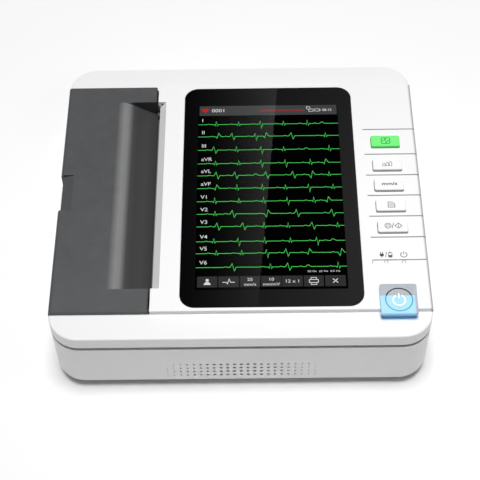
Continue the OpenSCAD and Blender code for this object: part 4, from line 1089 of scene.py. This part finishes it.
@dataclass(frozen=True)
class Lead:
    """One of the twelve traces: its name, its base line and its beats."""

    label: str
    y: float
    beats: tuple[tuple[float, Beat], ...]

    def path(self, x0: float, x1: float) -> list[Point]:
        """The trace as a line across the screen.

        Args:
            x0: Left end.
            x1: Right end.

        Returns:
            The points from left to right.
        """
        points = [(x0, self.y)]
        for at, beat in self.beats:
            swell = at - 7.0
            if swell - 2.2 > points[-1][0]:
                points += [(swell - 2.0, self.y), (swell, self.y + 0.7), (swell + 2.0, self.y)]
            points += [(at + dx, self.y + dy) for dx, dy in beat.value if points[-1][0] < at + dx < x1]
        points.append((x1, self.y))
        return points


LEADS = (
    Lead("I", 80.8, ((-22.7, Beat.SMALL), (-1.0, Beat.SMALL), (20.7, Beat.DEEP), (42.5, Beat.SMALL),
                     (65.6, Beat.SHARP), (79.9, Beat.WAVE))),
    Lead("II", 65.4, ((-20.3, Beat.HUMP), (-6.4, Beat.UP_DOWN), (15.6, Beat.DEEP), (25.5, Beat.HUMP),
                      (50.5, Beat.UP_DOWN), (82.4, Beat.SMALL))),
    Lead("III", 48.6, ((-23.7, Beat.UP_DOWN), (-3.1, Beat.SHARP), (21.0, Beat.DEEP),
                       (41.9, Beat.SMALL), (63.7, Beat.WAVE), (85.4, Beat.SHARP))),
    Lead("aVR", 32.0, ((-23.0, Beat.SMALL), (-1.0, Beat.SMALL), (20.7, Beat.DEEP), (43.7, Beat.DEEP),
                       (66.9, Beat.SHARP), (81.4, Beat.HUMP))),
    Lead("aVL", 17.4, ((-21.3, Beat.UP_DOWN), (-3.7, Beat.UP_DOWN), (15.0, Beat.WAVE),
                       (25.5, Beat.UP_DOWN), (50.8, Beat.UP_DOWN), (67.9, Beat.DOWN_UP),
                       (84.0, Beat.SMALL))),
    Lead("aVF", 2.2, ((-21.7, Beat.HUMP), (-2.7, Beat.SHARP), (21.0, Beat.SHARP), (42.6, Beat.SMALL),
                      (64.8, Beat.DEEP), (87.0, Beat.SMALL))),
    Lead("V1", -13.3, ((-23.4, Beat.SHARP), (-1.0, Beat.SMALL), (22.0, Beat.SHARP),
                       (44.5, Beat.DEEP), (68.6, Beat.SHARP), (82.0, Beat.HUMP))),
    Lead("V2", -27.9, ((-23.1, Beat.SMALL), (-6.1, Beat.UP_DOWN), (25.4, Beat.DOWN_UP),
                       (53.0, Beat.UP_DOWN), (85.5, Beat.UP_DOWN))),
    Lead("V3", -42.3, ((-20.0, Beat.UP_DOWN), (3.5, Beat.UP_DOWN), (22.1, Beat.SHARP),
                       (44.0, Beat.SMALL), (66.9, Beat.UP_DOWN), (89.2, Beat.SMALL))),
    Lead("V4", -59.1, ((-23.9, Beat.SMALL), (-1.2, Beat.DEEP), (22.4, Beat.SHARP), (45.6, Beat.SMALL),
                       (70.1, Beat.DEEP), (84.5, Beat.WAVE))),
    Lead("V5", -72.3, ((-21.5, Beat.SMALL), (1.4, Beat.SMALL), (24.5, Beat.DEEP),
                       (42.4, Beat.UP_DOWN), (62.6, Beat.HUMP), (91.0, Beat.DOWN_UP))),
    Lead("V6", -87.6, ((-6.1, Beat.UP_DOWN), (27.0, Beat.SMALL), (43.5, Beat.UP_DOWN),
                       (61.0, Beat.WAVE), (87.7, Beat.SHARP))),
)


@dataclass
class Display:
    """Glass, printed border and what the panel shows."""

    z_picture: float = 83.93
    layer: float = 0.03
    bar_y: Point = (93.0, 105.4)
    bar_x: Point = (-39.0, 94.8)
    softkey_y: Point = (-108.2, -96.5)
    softkey_x: tuple[Point, ...] = ((-38.3, -20.3), (-19.3, -1.1), (-0.1, 17.6), (18.5, 36.7),
                                    (37.2, 55.6), (56.5, 74.1), (75.3, 93.7))
    trace_width: float = 0.5
    trace_x: Point = (-39.9, 95.4)
    trace_rise: float = 0.7
    label_x: float = -36.6
    label_rise: float = 4.2
    heart_x: float = -33.3
    dash_x: float = 19.9
    dash_pitch: float = 2.2
    dash_length: float = 1.5
    dash_count: int = 20
    number_x: float = -27.2
    clock_x: float = 80.6

    def build(self) -> None:
        """Dresses the screen's nodes and draws the picture."""
        dress(GLASS, "screen_glass")
        dress(BORDER, "screen_mask")
        dress(LCD_FILM, "lcd_panel")
        self.status_bar()
        self.traces()
        self.soft_keys()

    def sheet(self, level: int) -> Sketch:
        """A new drawing at one of the picture's layers.

        Args:
            level: 0 for grounds, 1 for what lies on them.

        Returns:
            The empty drawing.
        """
        return Sketch(self.z_picture + level * (self.layer + 0.02), self.layer)

    def status_bar(self) -> None:
        """Draws the grey bar with its heart, number, dashes, little signs and clock."""
        low, high = self.bar_y
        bar = self.sheet(0).plate(round_box((self.bar_x[0], low), (self.bar_x[1], high), 0.3, 2))
        bar.finish("screen_status_bar", "case", BAR_GREY)
        middle = (low + high) / 2
        heart = [(0.0, -2.4), (1.9, -0.6), (3.1, 0.9), (3.0, 2.0), (2.1, 2.6), (1.0, 2.3), (0.0, 1.4),
                 (-1.0, 2.3), (-2.1, 2.6), (-3.0, 2.0), (-3.1, 0.9), (-1.9, -0.6)]
        self.sheet(1).plate([(x + self.heart_x, y + middle + 0.2) for x, y in heart]).finish(
            "screen_heart_sign", "case", HEART_RED)
        dashes = self.sheet(1)
        for i in range(self.dash_count):
            x = self.dash_x + i * self.dash_pitch
            dashes.stroke([(x, middle - 0.4), (x + self.dash_length, middle - 0.4)], 1.8)
        dashes.finish("screen_alarm_dashes", "case", DASH_RED)
        signs = self.sheet(1)
        signs.words("0001", (self.number_x, middle - 1.8), 4.3, 0.0, 1.1)
        signs.words("08:15", (self.clock_x, middle - 1.8), 3.1, 0.0, 0.95)
        signs.stroke(round_box((67.6, middle - 2.2), (71.9, middle + 0.8), 0.4, 2), 0.5, True)
        signs.stroke([(67.6, middle + 0.8), (65.5, middle + 1.3), (65.5, middle + 4.0), (68.4, middle + 4.0),
                      (68.9, middle + 1.0)], 0.5)
        signs.stroke(round_box((73.2, middle - 1.8), (78.2, middle + 1.0), 0.5), 0.5, True)
        signs.plate(round_box((78.4, middle - 1.0), (79.1, middle + 0.2), 0.1, 1))
        signs.finish("screen_bar_signs", "case", LABEL_WHITE)

    def traces(self) -> None:
        """Draws the twelve traces and their names."""
        lines = self.sheet(0)
        names = self.sheet(1)
        for lead in LEADS:
            path = [(x, y + self.trace_rise) for x, y in lead.path(*self.trace_x)]
            lines.stroke(path, self.trace_width)
            names.words(lead.label, (self.label_x, lead.y + self.label_rise), 4.1, 0.02, 1.08)
        lines.finish("screen_traces", "case", TRACE_GREEN)
        names.finish("screen_lead_names", "case", LABEL_WHITE)

    def soft_keys(self) -> None:
        """Draws the seven soft keys with their signs."""
        low, high = self.softkey_y
        grounds = self.sheet(0)
        for x0, x1 in self.softkey_x:
            grounds.plate(round_box((x0, low), (x1, high), 0.3, 2))
        grounds.finish("screen_soft_keys", "case", SOFTKEY_GREY)
        signs = self.sheet(1)
        mids = [(x0 + x1) / 2 for x0, x1 in self.softkey_x]
        y = (low + high) / 2
        self.person(signs, (mids[0], y))
        signs.stroke([(mids[1] - 5.5, y - 0.6), (mids[1] - 2.2, y - 0.6), (mids[1] - 1.0, y - 2.2),
                      (mids[1] + 0.4, y + 3.0), (mids[1] + 1.6, y - 0.6), (mids[1] + 5.5, y - 0.6)], 0.7)
        for x, value, unit, stretch in ((mids[2], "25", "mm/s", 1.15), (mids[3], "10", "mm/mV", 1.1)):
            signs.words(value, (x, y + 0.7), 3.2, 0.03, 1.15, True)
            signs.words(unit, (x, y - 4.4), 3.0, 0.03, stretch, True)
        signs.words("12 x 1", (mids[4], y - 1.6), 3.4, 0.03, 1.1, True)
        self.printer(signs, (mids[5], y))
        signs.stroke([(mids[6] - 2.2, y - 2.2), (mids[6] + 2.2, y + 2.2)], 0.8)
        signs.stroke([(mids[6] - 2.2, y + 2.2), (mids[6] - 0.4, y + 0.4)], 0.8)
        signs.stroke([(mids[6] + 0.4, y - 0.4), (mids[6] + 2.2, y - 2.2)], 0.8)
        signs.words("50 Hz  25 Hz  0.5 Hz", (60.0, high + 3.6), 1.9, 0.0, 1.25)
        signs.finish("screen_key_signs", "case", LABEL_WHITE)

    @staticmethod
    def person(signs: Sketch, at: Point) -> None:
        """Draws a head and shoulders.

        Args:
            signs: The drawing.
            at: Its middle.
        """
        x, y = at
        signs.plate(arc((x, y + 1.7), 1.5, 0, 337.5, 15))
        signs.plate(arc((x, y - 3.2), 3.1, 0, 180, 12))

    @staticmethod
    def printer(signs: Sketch, at: Point) -> None:
        """Draws a sheet coming out of a printer.

        Args:
            signs: The drawing.
            at: Its middle.
        """
        x, y = at
        signs.stroke(round_box((x - 4.0, y - 1.8), (x + 4.0, y + 1.4), 0.6), 0.7, True)
        signs.stroke([(x - 2.4, y + 1.9), (x - 2.4, y + 3.6), (x + 2.4, y + 3.6), (x + 2.4, y + 1.9)], 0.6)
        signs.stroke([(x - 2.4, y - 2.3), (x - 2.4, y - 3.9), (x + 2.4, y - 3.9), (x + 2.4, y - 2.3)], 0.6)


@dataclass
class KeyColumn:
    """Five keys with their printed signs, and the signs beside the lights."""

    x: float = 138.95
    lift: float = 0.02
    line: float = 0.68
    grooves: tuple[float, ...] = (71.9, 40.9, 15.6, -8.5, -32.6, -56.4)
    groove_x: Point = (118.6, 167.9)
    groove_depth: float = 0.5
    strip_y: Point = (-85.2, -81.0)
    strip_depth: float = 0.9
    windows: Point = (130.7, 146.5)
    signs_y: float = -75.9

    def build(self) -> None:
        """Dresses the keys and prints their signs."""
        dress(KEY_GREEN, "key_ecg")
        dress(KEY_WHITE, "key_gain", "key_speed", "key_page", "key_start")
        dress(LIGHT_CLEAR, "indicator_windows", "power_light_guide")
        self.lead_grid().finish("ecg_key_sign", "ecg_key", GREEN_INK)
        self.gain_loops().finish("gain_key_sign", "gain_key", KEY_INK)
        self.speed().finish("speed_key_sign", "speed_key", KEY_INK)
        self.page().finish("page_key_sign", "page_key", KEY_INK)
        self.start_stop().finish("start_key_sign", "start_key", KEY_INK)
        self.light_signs()
        self.groove_paint()

    def groove_paint(self) -> None:
        """Lays the grey paint in the engraved lines between the keys."""
        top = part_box("deck_cover")[1].z / MM
        paint = Sketch(top - self.groove_depth + 0.01, 0.06)
        for y in self.grooves:
            paint.stroke([(self.groove_x[0], y), (self.groove_x[1], y)], 1.0)
        paint.finish("engraved_line_paint", "case", LINE_PAINT)
        edge = Sketch(top - self.strip_depth + 0.01, 0.06)
        edge.stroke([(self.groove_x[0], self.strip_y[0] + 0.4), (self.groove_x[0], self.strip_y[1] - 0.25),
                     (self.groove_x[1] - 1.0, self.strip_y[1] - 0.25)], 0.5)
        for x in self.windows:
            edge.stroke(arc((x, (self.strip_y[0] + self.strip_y[1]) / 2), 1.7, 0, 345, 23), 0.35, True)
        edge.finish("light_strip_edge", "case", LINE_PAINT)

    def sheet(self, node: str) -> Sketch:
        """A drawing on top of a node.

        Args:
            node: The CAD node's name.

        Returns:
            The empty drawing.
        """
        return Sketch(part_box(node)[1].z / MM, self.lift)

    @staticmethod
    def row(node: str) -> float:
        """The middle of a key, from front to rear."""
        low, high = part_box(node)
        return (low.y + high.y) / 2 / MM

    def speed(self) -> Sketch:
        """The unit of the paper's speed."""
        sign = self.sheet("key_speed")
        return sign.words("mm/s", (self.x + 0.4, self.row("key_speed") - 1.1), 3.3, 0.28, 1.4, True)

    def lead_grid(self) -> Sketch:
        """A square of four fields with a trace through them."""
        x, y = self.x + 0.3, self.row("key_ecg")
        sign = self.sheet("key_ecg")
        sign.stroke(round_box((x - 4.0, y - 3.4), (x + 4.0, y + 3.4), 1.0), self.line + 0.1, True)
        sign.stroke([(x - 3.7, y), (x - 1.6, y), (x - 0.6, y + 2.4), (x + 0.8, y - 2.4), (x + 1.8, y),
                     (x + 3.7, y)], self.line)
        sign.stroke([(x, y + 3.1), (x, y + 1.6)], self.line)
        sign.stroke([(x, y - 1.6), (x, y - 3.1)], self.line)
        return sign

    def gain_loops(self) -> Sketch:
        """Three loops that grow from left to right."""
        x, y = self.x - 4.4, self.row("key_gain") - 2.0
        sign = self.sheet("key_gain")
        for i, tall in enumerate((3.0, 3.9, 5.0)):
            left = x + i * 3.1
            loop = [(left, y), (left + 0.1, y + tall - 1.2)]
            loop += arc((left + 1.2, y + tall - 1.2), 1.05, 180, 0, 8)
            loop += [(left + 2.4, y)]
            sign.stroke(loop, 0.5)
            sign.stroke([(left - 0.35, y - 0.25), (left + 2.75, y - 0.25)], 0.45)
        return sign

    def page(self) -> Sketch:
        """A sheet with a folded corner and lines of writing."""
        x, y = self.x + 0.2, self.row("key_page")
        sign = self.sheet("key_page")
        edge = [(x - 2.8, y - 3.0), (x + 3.2, y - 3.0), (x + 3.2, y + 0.6), (x + 0.8, y + 3.0),
                (x - 2.8, y + 3.0)]
        sign.stroke(edge, self.line, True)
        for k, reach in ((-1.6, 2.2), (-0.2, 2.2), (1.2, 0.6)):
            sign.stroke([(x - 1.8, y + k), (x + reach, y + k)], 0.5)
        return sign

    def start_stop(self) -> Sketch:
        """A ringed stop sign, a stroke and a start diamond."""
        x, y = self.x + 0.2, self.row("key_start")
        sign = self.sheet("key_start")
        sign.stroke(arc((x - 4.6, y), 2.8, 0, 345, 23), self.line, True)
        sign.stroke(round_box((x - 5.8, y - 1.2), (x - 3.4, y + 1.2), 0.4), 0.5, True)
        sign.stroke([(x - 1.0, y - 3.0), (x + 0.7, y + 3.2)], self.line)
        sign.stroke([(x + 1.7, y), (x + 4.9, y + 2.9), (x + 8.1, y), (x + 4.9, y - 2.9)], self.line, True)
        sign.stroke([(x + 4.9, y - 1.5), (x + 4.9, y + 1.5)], 0.6)
        return sign

    def light_signs(self) -> None:
        """Prints the mains, battery and power signs on the panel behind the lights."""
        sign = self.sheet("deck_cover")
        y = self.signs_y
        sign.plate(round_box((125.3, y - 1.6), (128.9, y + 1.2), 0.9, 4))
        sign.stroke([(126.2, y + 1.2), (126.2, y + 3.0)], 0.6)
        sign.stroke([(128.0, y + 1.2), (128.0, y + 3.0)], 0.6)
        sign.stroke([(127.1, y - 1.6), (127.1, y - 3.0)], 0.7)
        sign.stroke([(130.2, y - 3.0), (131.6, y + 3.0)], 0.5)
        sign.stroke(round_box((133.1, y - 2.8), (136.3, y + 2.0), 0.4), 0.5, True)
        sign.plate(round_box((133.9, y + 2.3), (135.5, y + 3.1), 0.1, 1))
        sign.plate(round_box((133.4, y - 2.5), (136.0, y - 0.4), 0.2, 2))
        sign.stroke(arc((146.8, y), 2.8, 125, 415, 22), self.line)
        sign.stroke([(146.8, y + 0.3), (146.8, y + 3.3)], 0.6)
        sign.finish("panel_signs", "case", PANEL_INK)


@dataclass
class PowerKey:
    """Lit power cap with its ring and white sign."""

    centre: Point = (138.4, -127.2)
    radius: float = 5.3
    line: float = 0.75

    def build(self) -> None:
        """Dresses the cap and draws the power sign."""
        dress(POWER_BLUE, "power_cap")
        dress(RING_BLUE, "power_ring")
        x, y = self.centre
        sign = Sketch(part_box("power_cap")[1].z / MM, 0.02)
        sign.stroke(arc((x, y - 0.6), self.radius, 118, 422, 36), self.line)
        sign.stroke([(x, y + 1.5), (x, y + 6.3)], self.line)
        sign.finish("power_key_sign", "power_key", POWER_INK)


@dataclass
class Studio:
    """Floor, soft light from above, a faint card for the glass, and the camera."""

    place: tuple[float, float, float] = (12.42, -743.81, 1035.4)
    yaw: float = -0.0181
    pitch: float = 0.945
    roll: float = -0.0261
    lens: float = 96.97
    sun_power: float = 2.98
    sun_spread: float = 26.0
    sky: float = 0.008
    side_power: float = 0.32
    side_place: tuple[float, float, float] = (120.0, -165.0, 480.0)
    side_aim: tuple[float, float, float] = (120.0, -60.0, 80.0)
    side_size: float = 200.0
    floor_reach: float = 6000.0
    card_height: float = 1200.0
    card_light: float = 0.45
    card_curve: float = 2.4
    card_near: float = 0.35
    card_left: float = -60.0
    card_right: Point = (15.0, 38.0)
    card_y: Point = (-135.0, 135.0)

    def build(self) -> None:
        """Sets up the whole studio."""
        self.floor()
        self.sky_light()
        self.overhead()
        self.side_light()
        self.glass_card()
        self.camera()

    def floor(self) -> None:
        """Lays the pale floor."""
        mesh = bmesh.new()
        bmesh.ops.create_grid(mesh, x_segments=8, y_segments=8, size=self.floor_reach * MM)
        data = bpy.data.meshes.new("studio_floor")
        mesh.to_mesh(data)
        mesh.free()
        data.materials.append(FLOOR.material())
        link(bpy.data.objects.new("studio_floor", data))

    def sky_light(self) -> None:
        """Sets the even weak light from all round."""
        world = bpy.data.worlds.new("studio")
        world.use_nodes = True
        ground = world.node_tree.nodes["Background"]
        ground.inputs[0].default_value = WHITE
        ground.inputs[1].default_value = self.sky
        bpy.context.scene.world = world

    def overhead(self) -> None:
        """Hangs the wide soft light over the machine."""
        light = bpy.data.lights.new("overhead", "SUN")
        light.energy = self.sun_power
        light.angle = math.radians(self.sun_spread)
        link(bpy.data.objects.new("overhead", light))

    def side_light(self) -> None:
        """Hangs a small soft light over the front right corner."""
        light = bpy.data.lights.new("side_light", "AREA")
        light.energy = self.side_power
        light.size = self.side_size * MM
        holder = link(bpy.data.objects.new("side_light", light))
        holder.location = Vector(self.side_place) * MM
        ahead = Vector(self.side_aim) - Vector(self.side_place)
        holder.rotation_euler = ahead.to_track_quat("-Z", "Y").to_euler()

    def mirrored(self, x: float, y: float) -> Vector:
        """Where the card must be to show at a point of the glass.

        Args:
            x: The point across the glass.
            y: The point along the glass.

        Returns:
            The card's point in metres.
        """
        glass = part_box("screen_glass")[1].z / MM
        eye = Vector((self.place[0], self.place[1], 2 * glass - self.place[2]))
        here = Vector((x, y, glass))
        share = (self.card_height - glass) / (glass - eye.z)
        return (here + (here - eye) * share) * MM

    def glass_card(self) -> None:
        """Hangs a faint graded card that the left part of the glass reflects."""
        data = bpy.data.meshes.new("glass_card")
        front, rear = self.card_y
        corners = [self.mirrored(self.card_left, front), self.mirrored(self.card_right[0], front),
                   self.mirrored(self.card_right[1], rear), self.mirrored(self.card_left, rear)]
        data.from_pydata([tuple(c) for c in corners], [], [(0, 1, 2, 3)])
        data.uv_layers.new(name="card")
        for loop, at in zip(data.uv_layers["card"].data, ((0, 0), (1, 0), (1, 1), (0, 1))):
            loop.uv = at
        made = bpy.data.materials.new("graded card")
        made.use_nodes = True
        made.node_tree.nodes.clear()
        net = Wiring(made.node_tree)
        across = net.add("ShaderNodeSeparateXYZ")
        net.feed(across.inputs[0], net.add("ShaderNodeTexCoord").outputs["UV"])
        rise = net.math("POWER", across.outputs["X"], self.card_curve)
        further = net.math("MULTIPLY", across.outputs["Y"], 1.0 - self.card_near)
        fall = net.math("ADD", self.card_near, further)
        light = net.add("ShaderNodeEmission")
        net.feed(light.inputs["Strength"],
                 net.math("MULTIPLY", net.math("MULTIPLY", rise, fall), self.card_light))
        out = net.add("ShaderNodeOutputMaterial")
        net.feed(out.inputs["Surface"], light.outputs[0])
        data.materials.append(made)
        card = link(bpy.data.objects.new("glass_card", data))
        card.visible_camera = False
        card.visible_shadow = False

    def camera(self) -> None:
        """Stands the camera in front and above, looking down at the machine."""
        data = bpy.data.cameras.new("view")
        data.lens = self.lens
        data.sensor_width = 36.0
        data.clip_end = 50.0
        level = math.cos(self.pitch)
        ahead = Vector((math.sin(self.yaw) * level, math.cos(self.yaw) * level, -math.sin(self.pitch)))
        right = Vector((math.cos(self.yaw), -math.sin(self.yaw), 0.0))
        up = right.cross(ahead)
        across = math.cos(self.roll) * right + math.sin(self.roll) * up
        above = math.cos(self.roll) * up - math.sin(self.roll) * right
        turn = Matrix((across, above, -ahead)).transposed().to_4x4()
        camera = link(bpy.data.objects.new("view", data))
        camera.matrix_world = Matrix.Translation(Vector(self.place) * MM) @ turn
        bpy.context.scene.camera = camera
        bpy.context.scene.view_settings.view_transform = "Standard"


def main() -> None:
    """Builds the sub-assemblies in order."""
    logging.basicConfig(level=logging.INFO, format="%(name)s: %(message)s")
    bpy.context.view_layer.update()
    for assembly in (Studio(), CaseShells(), PaperDoor(), PrintMechanism(), PaperStore(), Insides(),
                     Display(), KeyColumn(), PowerKey()):
        LOG.info("assembly %s", type(assembly).__name__)
        assembly.build()


if __name__ == "__main__":
    main()
